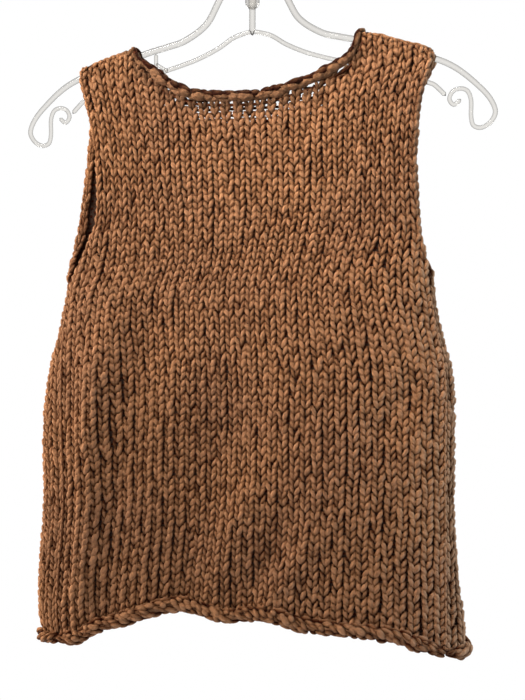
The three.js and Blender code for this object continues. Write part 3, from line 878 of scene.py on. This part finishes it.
def rope(pile, points, outward, radius, lumps, rows, core, uneven=1, shade=0):
    """Lays rows of slanting spindles round a core that follows the points.

    Each row gives its angle round the core, the spindles' length in places, their radius, how far
    each one climbs from end to end in degrees, and what is added to its depth, which only paints
    light and shade: below 0 it is darker, above 0 lighter. The depth also paints the spindles'
    tucked ends and the core darker, as shade. Uneven scales the random nudges, and shade darkens
    the whole rope as painted shade.
    """
    way = way_along(points)
    way = way / way[-1]
    out, across = frames_along(points, outward)
    core_depth = np.full(len(points), CORE_DEPTH)
    pile.add(*tube(points, out, radius * core, core_depth, 0.0, np.zeros(len(points)), CORE_SIDES))
    t = np.linspace(-1, 1, LUMP_STEPS)
    for row, (angle, stretch, lump_radius, climb, painted_light_offset) in enumerate(rows):
        # This depth only paints light and shade: the row's offset, and darker ends where the lump tucks
        # under.
        depth = painted_light_offset - LEAST_DEPTH - END_DEPTH * t * t - DEPTH_PER_RADIUS * lump_radius
        for lump in range(lumps):
            noise = np.clip(random.normal(size=6), -LUMP_NOISE_LIMIT, LUMP_NOISE_LIMIT)
            onward, length, turn, slope, fat, sink = uneven * noise * list(LUMP_NUDGE.values())
            middle = (lump + 0.5 + 0.5 * (row % 2) + onward) / lumps
            at = middle + 0.5 * stretch / lumps * (1 + length) * t
            if at[0] < -PAST_THE_END or at[-1] > 1 + PAST_THE_END:
                continue
            swing = np.radians(angle + turn + climb / 2 * (1 + slope) * t)
            rope_radius = np.interp(at, way, radius)
            size = lump_radius * rope_radius / radius.max()
            own_radius = size * (1 + fat) * np.sqrt(1 - LUMP_TAPER * t * t)
            face = read_line(at, way, out)
            spoke = face * np.cos(swing)[:, None] + read_line(at, way, across) * np.sin(swing)[:, None]
            reach = rope_radius - size * (1 + sink + LUMP_END_SINK * t * t)
            tint_and_painted_shade = np.full(LUMP_STEPS, random.normal() - shade)
            place = read_line(at, way, points) + spoke * reach[:, None]
            pile.add(*tube(place, spoke, own_radius, depth, random.uniform(0, LATEST_START), tint_and_painted_shade))


print("a lump has", LUMP_STEPS, "places along its yarn")

# %% [markdown]
# On this vest the hem isn't ribbed or sewn up, so it rolls outward into a fat round edge. Three rows
# of lumps face outward, and the others close the roll above, below and behind. The roll gets thinner
# at the sides, where it runs into the seam. A row of a table gives the lumps' angle round the roll,
# their length, their radius, their climb, and what is added to their depth, which paints shade: the
# rows on top, underneath and behind are darker.

# %% Roll the hems
HEM_RADIUS = 7.4
# The last number of a row paints shade: the rows on top, underneath and behind are darker.
HEM_ROWS = [
    (72, 1.3, 2.2, 34, -0.4),
    (36, 1.1, 2.3, 50, 0),
    (0, 1.1, 2.5, 54, 0),
    (-38, 1.1, 2.4, 50, 0),
    (-84, 1.3, 2.5, 40, -0.8),
    (150, 1.4, 2.8, 30, -1),
]
HEM_LUMPS_PER_WALE = 1.25
HEM_UNEVEN = 1.9
HEM_CORE = 0.6
HEM_LIFT = -0.2
HEM_END_RADIUS = 5
HEM_END_REACH = 0.06
HEM_SHARES = (0.002, 0.998)
HEM_PLACES = 90


def hem_roll(panel, name):
    """The curled hem of one panel."""
    share = np.linspace(*HEM_SHARES, HEM_PLACES)
    lift = np.full(share.shape, HEM_LIFT)
    place, outward = cloth_place(panel, share, np.zeros(share.shape), lift)
    outward = outward * np.array([1, 1, 0])
    outward /= np.linalg.norm(outward, axis=1)[:, None]
    place[:, 2] = smooth(panel["hem"]["share"], panel["hem"]["z"], share) + HEM_RADIUS
    rows = [(*row[:3], row[3] * -panel["sign"], row[4]) for row in HEM_ROWS]
    lumps = round(HEM_LUMPS_PER_WALE * panel["wales"])
    thinner = HEM_END_RADIUS - HEM_RADIUS
    radius = HEM_RADIUS + thinner * (1 - soft_step(np.minimum(share, 1 - share), 0, HEM_END_REACH))
    pile = YarnPile()
    rope(pile, place, outward, radius, lumps, rows, HEM_CORE, HEM_UNEVEN)
    return pile.piece(name)


front_hem = hem_roll(FRONT, "front_hem_roll")
back_hem = hem_roll(BACK, "back_hem_roll")

# %% [markdown]
# The neck's edge is cast off tightly round the whole opening. It runs along the front neckline, over
# the shoulder seam, and back along the lower back neckline, so its two lines are joined end to end.
# It is thin where it crosses the hanger's arms. Under it runs one strand, which ties the ladders.
# The edge's lower rows and the strand are painted dark, as the shadow under the edge, its upper and
# back rows are painted lighter, as if lit from above, and the whole edge is painted a little darker.

# %% Bind the neck
# The last number of a row paints light and shade: the lower rows are darker, as the shadow under the edge,
# and the upper and back rows lighter, as if lit from above.
NECK_ROWS = [
    (28, 1.25, 4.0, 26, 0.8),
    (92, 1.3, 3.4, 30, 3.6),
    (-38, 1.2, 3.0, 30, -2.2),
    (-92, 1.2, 2.4, 30, -3.0),
    (150, 1.3, 3.4, 30, 4.4),
    (208, 1.3, 3.0, 30, 2.4),
]
NECK_LUMPS = 48
NECK_UNEVEN = 1.5
# The whole bound edge is painted a little darker, as shade.
NECK_ROPE_PAINTED_SHADE = 7
NECK_CORE = 0.55
NECK_RADIUS = 5.6
NECK_SHOULDER_RADIUS = 3.4
NECK_GAP = 0.7
NECK_STEPS = 60
# The strand's depth paints it almost black, as the shadow under the edge.
NECK_STRAND = {"below": 1.5, "behind": 2.2, "radius": 1.5, "depth": -3.6}
CLOTH_PRESSED = (-24, -4)
EDGING_PRESSED = (-40, 4)


def neck_line(panel):
    """The bound edge's places along one panel's neck."""
    steps = np.arange(NECK_STEPS + 1) / NECK_STEPS
    x = NECK_LEFT + (NECK_RIGHT - NECK_LEFT) * (0.5 - 0.5 * np.cos(math.pi * steps))
    share = column_share(panel, x)
    top = column_top(panel, x)
    rise = top - ridge(x)
    radius = NECK_RADIUS + (NECK_SHOULDER_RADIUS - NECK_RADIUS) * soft_step(rise, *EDGING_PRESSED)
    thinner = SHOULDER_THICKNESS - CLOTH_THICKNESS
    thickness = CLOTH_THICKNESS + thinner * soft_step(rise, *CLOTH_PRESSED)
    _, outward = cloth_place(panel, share, top_at(panel, share), np.zeros(len(share)))
    return outer_points(panel, share, top), outward, thickness, radius


def neck_edging():
    """The whole bound edge, round the front and the back."""
    joined = [np.concatenate([a, b[::-1][1:]]) for a, b in zip(neck_line(FRONT), neck_line(BACK))]
    place, outward, thickness, radius = joined
    ahead = np.roll(place, -1, axis=0) - np.roll(place, 1, axis=0)
    ahead[0] = place[1] - place[-2]
    ahead[-1] = ahead[0]
    out_of_cloth = np.cross(outward, ahead)
    out_of_cloth /= np.linalg.norm(out_of_cloth, axis=1)[:, None]
    centre = place + outward * (radius - thickness)[:, None] + out_of_cloth * (radius + NECK_GAP)[:, None]
    pile = YarnPile()
    rope(pile, centre, outward, radius, NECK_LUMPS, NECK_ROWS, NECK_CORE, NECK_UNEVEN, NECK_ROPE_PAINTED_SHADE)
    strand = place - outward * NECK_STRAND["behind"] - out_of_cloth * NECK_STRAND["below"]
    size = np.full(len(place), NECK_STRAND["radius"])
    depth = np.full(len(place), NECK_STRAND["depth"])
    pile.add(*tube(strand, outward, size, depth, 0.0, np.zeros(len(place))))
    return pile.piece("neck_bound_edge")


neck_edge = neck_edging()

# %% [markdown]
# A hand knitter sews the panels together with the same yarn. At the shoulders that leaves a thick
# chain along the top, over the hanger's arms. Down each side it leaves a thin one in the groove
# between the panels, up to the underarm.

# %% Sew the seams
SEAM_CORE = 0.6
# The last number of a row paints shade: the rows on the sides are darker.
SHOULDER_SEAM_ROWS = [
    (0, 1.5, 2.1, 0, 0),
    (48, 1.4, 2.1, 20, 0),
    (-48, 1.4, 2.1, -20, 0),
    (96, 1.4, 2.0, 20, -1),
    (-96, 1.4, 2.0, -20, -1),
]
SHOULDER_SEAM_LUMPS = 7
SHOULDER_SEAM_RADIUS = 3.6
SHOULDER_SEAM_PROUD = 0.5
SHOULDER_SEAM_END = 159
SHOULDER_SEAM_PLACES = 24
# The last number of a row paints light and shade: the middle row is lighter, and the rows on the sides
# darker.
SIDE_SEAM_ROWS = [
    (0, 1.5, 1.5, 10, 0.6),
    (60, 1.3, 1.2, 0, -1),
    (-60, 1.3, 1.2, 0, -1),
]
SIDE_SEAM_LUMPS = 46
SIDE_SEAM_RADIUS = 2.6
SIDE_SEAM_LIFT = -1.6
SIDE_SEAM_COURSES = (0.5, 47)
SIDE_SEAM_PLACES = 50


def shoulder_seam(name, inner_x, outer_x):
    """The chain of stitches that joins the two panels over the arm."""
    x = np.linspace(inner_x, outer_x, SHOULDER_SEAM_PLACES)
    place = outer_points(FRONT, column_share(FRONT, x), column_top(FRONT, x))
    place[:, 1] = 0
    place[:, 2] += SHOULDER_SEAM_PROUD - SHOULDER_SEAM_RADIUS
    upward = np.tile(np.array([0.0, 0.0, 1.0]), (len(x), 1))
    radius = np.full(len(x), SHOULDER_SEAM_RADIUS)
    pile = YarnPile()
    rope(pile, place, upward, radius, SHOULDER_SEAM_LUMPS, SHOULDER_SEAM_ROWS, SEAM_CORE)
    return pile.piece(name)


def side_seam(name, share):
    """The chain of stitches that joins the two panels down one side."""
    course = np.linspace(*SIDE_SEAM_COURSES, SIDE_SEAM_PLACES)
    lift = np.full(len(course), SIDE_SEAM_LIFT)
    place, outward = cloth_place(FRONT, np.full(len(course), share), course, lift)
    radius = np.full(len(course), SIDE_SEAM_RADIUS)
    pile = YarnPile()
    rope(pile, place, outward, radius, SIDE_SEAM_LUMPS, SIDE_SEAM_ROWS, SEAM_CORE)
    return pile.piece(name)


seams = [
    shoulder_seam("shoulder_seam_left", NECK_LEFT, -SHOULDER_SEAM_END),
    shoulder_seam("shoulder_seam_right", NECK_RIGHT, SHOULDER_SEAM_END),
    side_seam("side_seam_left", 0.0),
    side_seam("side_seam_right", 1.0),
]

# %% [markdown]
# The hanger is clear plastic, moulded in one piece from round rods. Each rod's line is a few places
# in the hanger's own plane, as (x, z). Only the right side is listed, because the left side is its
# mirror image. An arm thins toward its end, which curls into a scroll that holds straps.

# %% Lines of the hanger
ARM_PATH = [(5.7, -72.5), (10, -78.5), (20, -92), (31.7, -111.8), (43, -130.8), (63.5, -144.4),
            (81.5, -149.4), (97, -153), (131.7, -163.4), (166.5, -173.9), (183.2, -182.8),
            (200.8, -197.9)]
SCROLL_PATH = [(210.6, -209.2), (215, -220.5), (211, -229), (203, -233.5), (196.5, -231.5),
               (194.4, -224), (194.2, -209), (191, -201.5), (185.2, -199.4), (178.8, -201.5),
               (175.8, -208), (179.6, -213), (185.6, -208.6)]
BOW_PATH = [(0.6, -139.8), (6, -140.7), (17.6, -144.3), (31, -152.6), (48, -160.4), (62, -165.1),
            (86, -171.8), (123, -182.9), (161, -194.1), (167, -199), (172.6, -204.8)]
HOOK_FOOT = [(0, -62), (0, -53), (5.5, -45), (15.6, -37)]
HOOK_INNER_RADIUS = 20
HOOK_WIRE_RADIUS = 2.5
HOOK_TURNS = np.radians(np.linspace(-30, 200, 15))
STEM_PATH = [(0, -62.3), (0, -100), (0, -143)]
COLLAR_PATH = [(0, -98), (0, -109), (0, -120)]
LINK_PATH = [(91, -154.9), (91, -162), (91, -170.6)]
BRACE_PATH = [(91, -163.6), (85.3, -167.3), (79.5, -171)]
ARM_THICKNESS = [(0, ARM_RADIUS), (0.5, ARM_RADIUS), (0.82, 1.9), (1, 1.9)]
RADII = {"stem": 2.8, "collar": 6.4, "bow": 2, "link": 1.8, "brace": 1.4}
print("an arm's line has", len(ARM_PATH) + len(SCROLL_PATH), "places")

# %% [markdown]
# A rod could be a Blender curve with a bevel. Here the yarn's tube does the same work with more
# sides, so that it looks smooth. The line is made soft first, and both ends are rounded. An arm and
# its scroll are one moulding, so they are one rod that stands for two of the CAD model's solids.

# %% Mould the hanger
ROD_SIDES = 16
PLACES_PER_STEP = 10
END_FLATNESS = 0.05


def soft_line(path):
    """A soft curve through the places of a path in the hanger's own plane."""
    places = np.array(path, float)
    way = way_along(places)
    at = np.linspace(0, way[-1], (len(path) - 1) * PLACES_PER_STEP + 1)
    x = smooth(way, places[:, 0], at)
    z = smooth(way, places[:, 1], at)
    return np.stack([x, np.zeros_like(x), z], axis=1)


def rod(name, path, thickness, side=1):
    """A round rod with softly rounded ends. Its thickness is given as (share of the way, radius)."""
    line = soft_line(path) * np.array([side, 1, 1])
    way = way_along(line)
    shares, radii = zip(*thickness)
    radius = np.interp(way / way[-1], shares, radii)
    from_end = np.clip(np.minimum(way, way[-1] - way) / radius, 0, 1)
    width = radius * np.sqrt(np.clip(1 - (1 - from_end) ** 2, END_FLATNESS, 1))
    outward = np.tile(np.array([0.0, -1.0, 0.0]), (len(line), 1))
    nothing = np.zeros(len(line))
    pile = YarnPile()
    pile.add(*tube(line, outward, width, nothing, 0.0, nothing, ROD_SIDES))
    return pile.piece(name)


wire_centre = HOOK_INNER_RADIUS + HOOK_WIRE_RADIUS
hook_curl = [(wire_centre * math.cos(t), wire_centre * math.sin(t) - HOOK_INNER_RADIUS) for t in HOOK_TURNS]
hanger = {
    rod("clear_hook", HOOK_FOOT + hook_curl, [(0, HOOK_WIRE_RADIUS)]): ["hanger_hook"],
    rod("clear_stem", STEM_PATH, [(0, RADII["stem"])]): ["hanger_stem"],
    rod("clear_collar", COLLAR_PATH, [(0, RADII["collar"])]): [],
}
for word, side in (("left", -1), ("right", 1)):
    arm = rod(f"clear_arm_{word}", ARM_PATH + SCROLL_PATH, ARM_THICKNESS, side)
    bow = rod(f"clear_bow_{word}", BOW_PATH, [(0, RADII["bow"])], side)
    link = rod(f"clear_link_{word}", LINK_PATH, [(0, RADII["link"])], side)
    brace = rod(f"clear_brace_{word}", BRACE_PATH, [(0, RADII["brace"])], side)
    hanger[arm] = [f"hanger_arm_{word}", f"hanger_end_{word}"]
    hanger[bow] = [f"hanger_bow_{word}"]
    hanger[link] = [f"hanger_link_{word}"]
    hanger[brace] = []

# %% [markdown]
# Every finish here is a small net of nodes, and each node does one thing. Writing out how a node is
# made and linked takes many lines, so a few helpers do it: one fills in or links a node's inputs,
# and the others make the nodes that are needed most.


# %% Helpers that make nodes
def set_inputs(tree, node, values):
    """Sets a node's inputs by name. A socket is linked, and anything else is a plain value."""
    for label, value in values.items():
        if isinstance(value, bpy.types.NodeSocket):
            tree.links.new(value, node.inputs[label])
        else:
            node.inputs[label].default_value = value


def new_node(tree, kind, values):
    """A node with its inputs set."""
    node = tree.nodes.new(kind)
    set_inputs(tree, node, values)
    return node


def attribute(tree, name):
    """A node that reads one of the numbers stored on the mesh."""
    node = tree.nodes.new("ShaderNodeAttribute")
    node.attribute_name = name
    return node.outputs["Fac"]


def math_node(tree, operation, first, second):
    """A Math node. Each input is a socket or a plain number."""
    node = tree.nodes.new("ShaderNodeMath")
    node.operation = operation
    for slot, value in enumerate((first, second)):
        if isinstance(value, bpy.types.NodeSocket):
            tree.links.new(value, node.inputs[slot])
        else:
            node.inputs[slot].default_value = value
    return node.outputs[0]


def mix_colours(tree, amount, first, second):
    """Mixes two colours by an amount. Each colour is a socket or a plain value."""
    node = tree.nodes.new("ShaderNodeMix")
    node.data_type = "RGBA"
    tree.links.new(amount, node.inputs["Factor"])
    for label, value in (("A", first), ("B", second)):
        socket = next(s for s in node.inputs if s.name == label and s.type == "RGBA")
        if isinstance(value, tuple):
            socket.default_value = value
        else:
            tree.links.new(value, socket)
    return next(s for s in node.outputs if s.type == "RGBA")


def map_range(tree, value, low, high):
    """Stretches a range of values to 0 to 1."""
    values = {"Value": value, "From Min": low, "From Max": high}
    return new_node(tree, "ShaderNodeMapRange", values).outputs["Result"]


def object_noise(tree, scale):
    """A noise in the object's own space."""
    place = tree.nodes.new("ShaderNodeTexCoord").outputs["Object"]
    values = {"Vector": place, "Scale": scale}
    return new_node(tree, "ShaderNodeTexNoise", values).outputs["Fac"]


print("node helpers are ready")

# %% [markdown]
# Thick wool is spun from thin plies twisted together, and each ply from fibres that lie along it. A
# wave that winds round the yarn as it goes along gives the plies. A noise that is stretched along
# the yarn gives the fibres. Both read the numbers stored on the mesh, so they follow every loop.

# %% Fibres and plies
PLIES = 3.0
PLY_PITCH = 5.5
FIBRE_STRETCH = {"along": 0.35, "round": 2.4}
FIBRE_NOISE = {"Scale": 1.6, "Detail": 3}


def fibres_and_plies(tree):
    """Two patterns that run along the yarn: the fine fibres and the wave of the plies."""
    along = attribute(tree, "along")
    out = attribute(tree, "facing_out")
    side = attribute(tree, "facing_side")
    stretched = new_node(tree, "ShaderNodeCombineXYZ", {
        "X": math_node(tree, "MULTIPLY", along, FIBRE_STRETCH["along"]),
        "Y": math_node(tree, "MULTIPLY", out, FIBRE_STRETCH["round"]),
        "Z": math_node(tree, "MULTIPLY", side, FIBRE_STRETCH["round"]),
    })
    values = {"Vector": stretched.outputs[0], **FIBRE_NOISE}
    fibre = new_node(tree, "ShaderNodeTexNoise", values).outputs["Fac"]
    around = math_node(tree, "MULTIPLY", math_node(tree, "ARCTAN2", side, out), PLIES)
    twist = math_node(tree, "MULTIPLY", along, 2 * math.pi / PLY_PITCH)
    ply = math_node(tree, "SINE", math_node(tree, "ADD", around, twist), 0.0)
    return fibre, ply


print("a yarn has", int(PLIES), "plies, and they turn once in", PLIES * PLY_PITCH, "mm")

# %% [markdown]
# The wool is matt, soft and a warm brown. Deep between the ribs little light gets in and less comes
# out, and that shade is painted into the colour: where the yarn lies on top it keeps its brown, and
# deep down it is painted almost black. The mesh already knows how deep each corner lies, so one node
# group mixes the colours by depth, and adds the plies, with painted shade in the grooves between
# them, and the fibres. Each material places the group with values of its own.

# %% Node group for spun yarn
# How much the ply wave paints shade into the grooves between the plies.
PLY_PAINTED_SHADE = 0.08
PLY_HEIGHT = 0.5
PATCH_SCALE = 9
PATCH_RANGE = (0.35, 0.65)
# Between these depths the colour goes from painted shade, almost black, to the yarn's own brown.
PAINTED_SHADE_DEPTHS = (-3.1, 0.2)
PAINTED_SHADE_POWER = 1.7
TINT_AND_SHADE_STRENGTH = 0.06
PAINTED_SHADE_SATURATION = 1.07
GROUP_INPUTS = [
    ("Light", "NodeSocketColor"),
    ("Painted Shade", "NodeSocketColor"),
    ("Grey", "NodeSocketColor"),
    ("Fibre", "NodeSocketFloat"),
]


def spun_yarn_group():
    """Colour and height of a spun yarn, with its twisted plies and its fibres."""
    group = bpy.data.node_groups.new("spun yarn", "ShaderNodeTree")
    for label, kind in GROUP_INPUTS:
        group.interface.new_socket(label, in_out="INPUT", socket_type=kind)
    group.interface.new_socket("Colour", in_out="OUTPUT", socket_type="NodeSocketColor")
    group.interface.new_socket("Height", in_out="OUTPUT", socket_type="NodeSocketFloat")
    entry = group.nodes.new("NodeGroupInput").outputs
    fibre, ply = fibres_and_plies(group)
    # Painted shade: the deeper a corner lies, the nearer its colour is to the dark brown, and the more
    # saturated.
    painted_light = map_range(group, attribute(group, "depth"), *PAINTED_SHADE_DEPTHS)
    painted_light = math_node(group, "POWER", painted_light, PAINTED_SHADE_POWER)
    patches = map_range(group, object_noise(group, PATCH_SCALE), *PATCH_RANGE)
    tone = mix_colours(group, patches, entry["Light"], entry["Grey"])
    flecks = math_node(group, "MULTIPLY", math_node(group, "SUBTRACT", fibre, 0.5), entry["Fibre"])
    # The tint is random tone, plus painted shade under the neck edge and on the bound edge.
    tint_and_painted_shade = math_node(group, "MULTIPLY", attribute(group, "tint_and_painted_shade"), TINT_AND_SHADE_STRENGTH)
    # The ply wave paints shade into the grooves between the plies.
    shade = math_node(group, "MULTIPLY", ply, PLY_PAINTED_SHADE)
    value = math_node(group, "ADD", math_node(group, "ADD", flecks, tint_and_painted_shade), 1.0)
    painted_shade_saturation = math_node(group, "MULTIPLY", painted_light, 1 - PAINTED_SHADE_SATURATION)
    finish = new_node(group, "ShaderNodeHueSaturation", {
        "Color": mix_colours(group, painted_light, entry["Painted Shade"], tone),
        "Value": math_node(group, "ADD", value, shade),
        "Saturation": math_node(group, "ADD", painted_shade_saturation, PAINTED_SHADE_SATURATION),
    })
    ply_height = math_node(group, "MULTIPLY", ply, PLY_HEIGHT)
    set_inputs(group, group.nodes.new("NodeGroupOutput"), {
        "Colour": finish.outputs["Color"],
        "Height": math_node(group, "ADD", fibre, ply_height),
    })
    return group


SPUN_YARN = spun_yarn_group()
print("node group:", SPUN_YARN.name)

# %% [markdown]
# Wool scatters light among its loose fibres. The Principled shader does that with a high roughness,
# little gloss and a faint warm sheen, and a bump of under a millimetre raises the plies. The panels
# and the edges use one group, and the edges are a little hairier. The inner layer is felted, and its
# near-black browns are painted shade, since light hardly reaches it.

# %% Wool materials
BROWN = (0.42, 0.193, 0.088, 1)
GREYER_BROWN = (0.37, 0.172, 0.084, 1)
# The colour of the painted shade deep between the ribs.
PAINTED_SHADE_BROWN = (0.045, 0.008, 0.003, 1)
# The inner layer's browns are painted shade, nearly black.
INNER_PAINTED_SHADE_BROWNS = ((0.03, 0.012, 0.006, 1), (0.06, 0.026, 0.012, 1))
INNER_LUMPS = {"scale": 220, "low": 0.3, "high": 0.7}
INNER_ROUGHNESS = 0.95
INNER_BUMP = 1 * MM
YARN_BUMP = 0.6 * MM
BUMP_STRENGTH = 0.5
WOOL = {
    "Roughness": 0.85,
    "Specular IOR Level": 0.1,
    "Sheen Weight": 0.1,
    "Sheen Roughness": 0.5,
    "Sheen Tint": (1.0, 0.7, 0.45, 1),
}


def new_material(name):
    """A material with its Principled shader."""
    material = bpy.data.materials.new(name)
    material.use_nodes = True
    return material, material.node_tree, material.node_tree.nodes["Principled BSDF"]


def bump(tree, height, distance):
    """Normals that show a height as small bumps."""
    values = {"Height": height, "Strength": BUMP_STRENGTH, "Distance": distance}
    return new_node(tree, "ShaderNodeBump", values).outputs["Normal"]


def yarn_material(name, fibre):
    """Matt wool with fibres along the yarn and a soft sheen of loose ends."""
    material, tree, shader = new_material(name)
    group = tree.nodes.new("ShaderNodeGroup")
    group.node_tree = SPUN_YARN
    browns = {"Light": BROWN, "Grey": GREYER_BROWN, "Painted Shade": PAINTED_SHADE_BROWN}
    set_inputs(tree, group, {**browns, "Fibre": fibre})
    normal = bump(tree, group.outputs["Height"], YARN_BUMP)
    set_inputs(tree, shader, {**WOOL, "Base Color": group.outputs["Colour"], "Normal": normal})
    return material


def layer_material():
    """The felted wool of the inner layer, painted dark as shade, lumpy like the cloth's other side."""
    material, tree, shader = new_material("inner wool")
    lumps = object_noise(tree, INNER_LUMPS["scale"])
    amount = map_range(tree, lumps, INNER_LUMPS["low"], INNER_LUMPS["high"])
    colour = mix_colours(tree, amount, *INNER_PAINTED_SHADE_BROWNS)
    normal = bump(tree, lumps, INNER_BUMP)
    set_inputs(tree, shader, {"Base Color": colour, "Roughness": INNER_ROUGHNESS, "Normal": normal})
    return material


panel_yarn = yarn_material("panel yarn", fibre=1.0)
edge_yarn = yarn_material("edge yarn", fibre=1.1)
inner_wool_in_painted_shade = layer_material()
print("wool materials:", len(bpy.data.materials))

# %% [markdown]
# Clear plastic lets the light through and bends it a little, so the rods would vanish in a white
# studio but for their edges. There the eye looks through more plastic, and darker things are bent
# into view, so Layer Weight's Facing finds the edges and paints them grey: the tint goes from nearly
# white to a grey that is partly painted shade. The surface is polished, with a faint ripple.

# %% Clear plastic, and every piece's material
# The second colour is a painted grey shade at the rods' edges.
PLASTIC_TINT_AND_EDGE_SHADE = ((0.82, 0.80, 0.765, 1), (0.2, 0.195, 0.19, 1))
PLASTIC_EDGE = 0.65
PLASTIC_INDEX = 1.3
RIPPLE_SCALE = 60
RIPPLE_ROUGHNESS = (0.06, 0.16)


def plastic_material():
    """Clear plastic: nearly white where the eye looks straight through, with painted grey shade at its
    edges.
    """
    material, tree, shader = new_material("clear plastic")
    edge = new_node(tree, "ShaderNodeLayerWeight", {"Blend": PLASTIC_EDGE})
    rough = new_node(tree, "ShaderNodeMapRange", {
        "Value": object_noise(tree, RIPPLE_SCALE),
        "To Min": RIPPLE_ROUGHNESS[0],
        "To Max": RIPPLE_ROUGHNESS[1],
    })
    set_inputs(tree, shader, {
        "Transmission Weight": 1.0,
        "IOR": PLASTIC_INDEX,
        "Base Color": mix_colours(tree, edge.outputs["Facing"], *PLASTIC_TINT_AND_EDGE_SHADE),
        "Roughness": rough.outputs["Result"],
    })
    return material


clear_plastic = plastic_material()
finishes = [
    (panel_yarn, [*front_yarn, *back_yarn]),
    (edge_yarn, [front_hem, back_hem, neck_edge, *seams]),
    (inner_wool_in_painted_shade, [front_layer, back_layer]),
    (clear_plastic, hanger),
]
for material, pieces in finishes:
    for piece in pieces:
        piece.data.materials.append(material)
    print(material.name, "is on", len(pieces), "pieces")

# %% [markdown]
# The picture is a studio one. A plain pale floor lies well below the vest, outside the picture. The
# world looks white to the eye and through the plastic, but it lights the wool only softly, and more
# from above than from below.

# %% Floor and world
FLOOR_DROP = 0.42
FLOOR_RADIUS = 1.1
FLOOR_CORNERS = 64
FLOOR_COLOUR = (0.86, 0.86, 0.86, 1)
FLOOR_ROUGHNESS = 0.8
WORLD_BELOW = 0.04
WORLD_ABOVE = 0.2


def floor():
    """A plain pale disc, low enough to lie outside the picture."""
    height = cad_box[0][2] - FLOOR_DROP
    angles = 2 * math.pi * np.arange(FLOOR_CORNERS) / FLOOR_CORNERS
    corners = [(FLOOR_RADIUS * math.cos(a), FLOOR_RADIUS * math.sin(a), height) for a in angles]
    mesh = bpy.data.meshes.new("floor")
    mesh.from_pydata(corners, [], [tuple(range(FLOOR_CORNERS))])
    material, tree, shader = new_material("pale floor")
    set_inputs(tree, shader, {"Base Color": FLOOR_COLOUR, "Roughness": FLOOR_ROUGHNESS})
    mesh.materials.append(material)
    return in_scene("floor", mesh)


def white_world():
    """White to the eye and through the plastic. It lights the wool softly, and more from above."""
    world = bpy.data.worlds.new("studio")
    bpy.context.scene.world = world
    world.use_nodes = True
    tree = world.node_tree
    direction = tree.nodes.new("ShaderNodeTexCoord").outputs["Generated"]
    split = new_node(tree, "ShaderNodeSeparateXYZ", {"Vector": direction})
    soft = new_node(tree, "ShaderNodeMapRange", {
        "Value": split.outputs["Z"],
        "From Min": -1,
        "To Min": WORLD_BELOW,
        "To Max": WORLD_ABOVE,
    })
    path = tree.nodes.new("ShaderNodeLightPath").outputs
    seen = math_node(tree, "MAXIMUM", path["Is Camera Ray"], path["Is Transmission Ray"])
    strength = math_node(tree, "MAXIMUM", seen, soft.outputs["Result"])
    set_inputs(tree, tree.nodes["Background"], {"Color": (1, 1, 1, 1), "Strength": strength})


stage_floor = floor()
white_world()
print("floor at", round(cad_box[0][2] - FLOOR_DROP, 2), "m")

# %% [markdown]
# The main lamp is high, in front and to the left, and its narrow beam points at the shoulders, so
# the top of the vest is lit best and the lower half falls off into shade. The fill softens the other
# side. The two side lamps graze the edges, warm on the left and cool on the right, and another lamp
# lights the back. These three don't show in the plastic, where they would look like white tape.

# %% Lamps
WARM = (1.0, 0.97, 0.93)
COOL = (0.86, 0.93, 1.0)
BLUE = (0.42, 0.68, 1.0)
KEY_COLOUR = (1.0, 0.98, 0.94)
KEY_SPREAD = math.radians(48)


def lamp(name, place, target, size, power, colour=(1, 1, 1), glints=True):
    """A soft square lamp that faces a place. Without glints, it doesn't show in the plastic."""
    data = bpy.data.lights.new(name, "AREA")
    data.size = size
    data.energy = power
    data.color = colour
    item = in_scene(name, data)
    item.location = place
    item.visible_glossy = glints
    item.visible_transmission = glints
    item.rotation_euler = (Vector(target) - Vector(place)).to_track_quat("-Z", "Y").to_euler()
    print(name, "lamp:", power, "watts")
    return item


key_lamp = lamp("key", place=(-0.35, -0.62, 0.5), target=(0, 0, -0.06), size=0.7, power=3.1,
                colour=KEY_COLOUR)
key_lamp.data.spread = KEY_SPREAD
lamp("fill", place=(1.3, -1.4, 0.1), target=(0, 0, -0.3), size=1.0, power=2, colour=COOL)
lamp("left side", place=(-1.5, 0.0, -0.3), target=(-0.2, 0, -0.45), size=0.8, power=34,
     colour=WARM, glints=False)
lamp("right side", place=(1.4, 0.2, -0.2), target=(0.2, 0, -0.4), size=0.8, power=26,
     colour=BLUE, glints=False)
lamp("back", place=(0.5, 1.8, 0.4), target=(0, 0, -0.4), size=1.2, power=30, glints=False)
bpy.context.scene.view_settings.view_transform = "Standard"

# %% [markdown]
# Last, every piece rides on the root body, and the CAD solids that the pieces stand in for are hidden.

# %% Tell the frame about the pieces
yarn_pieces = [*front_yarn, *back_yarn, front_layer, back_layer, front_hem, back_hem, *seams]
for piece in yarn_pieces:
    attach(piece, "root")
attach(neck_edge, "root")
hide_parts("front_panel")
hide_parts("back_panel")
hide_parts("neck_edging")
for piece, nodes in hanger.items():
    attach(piece, "root")
    if nodes:
        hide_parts(*nodes)
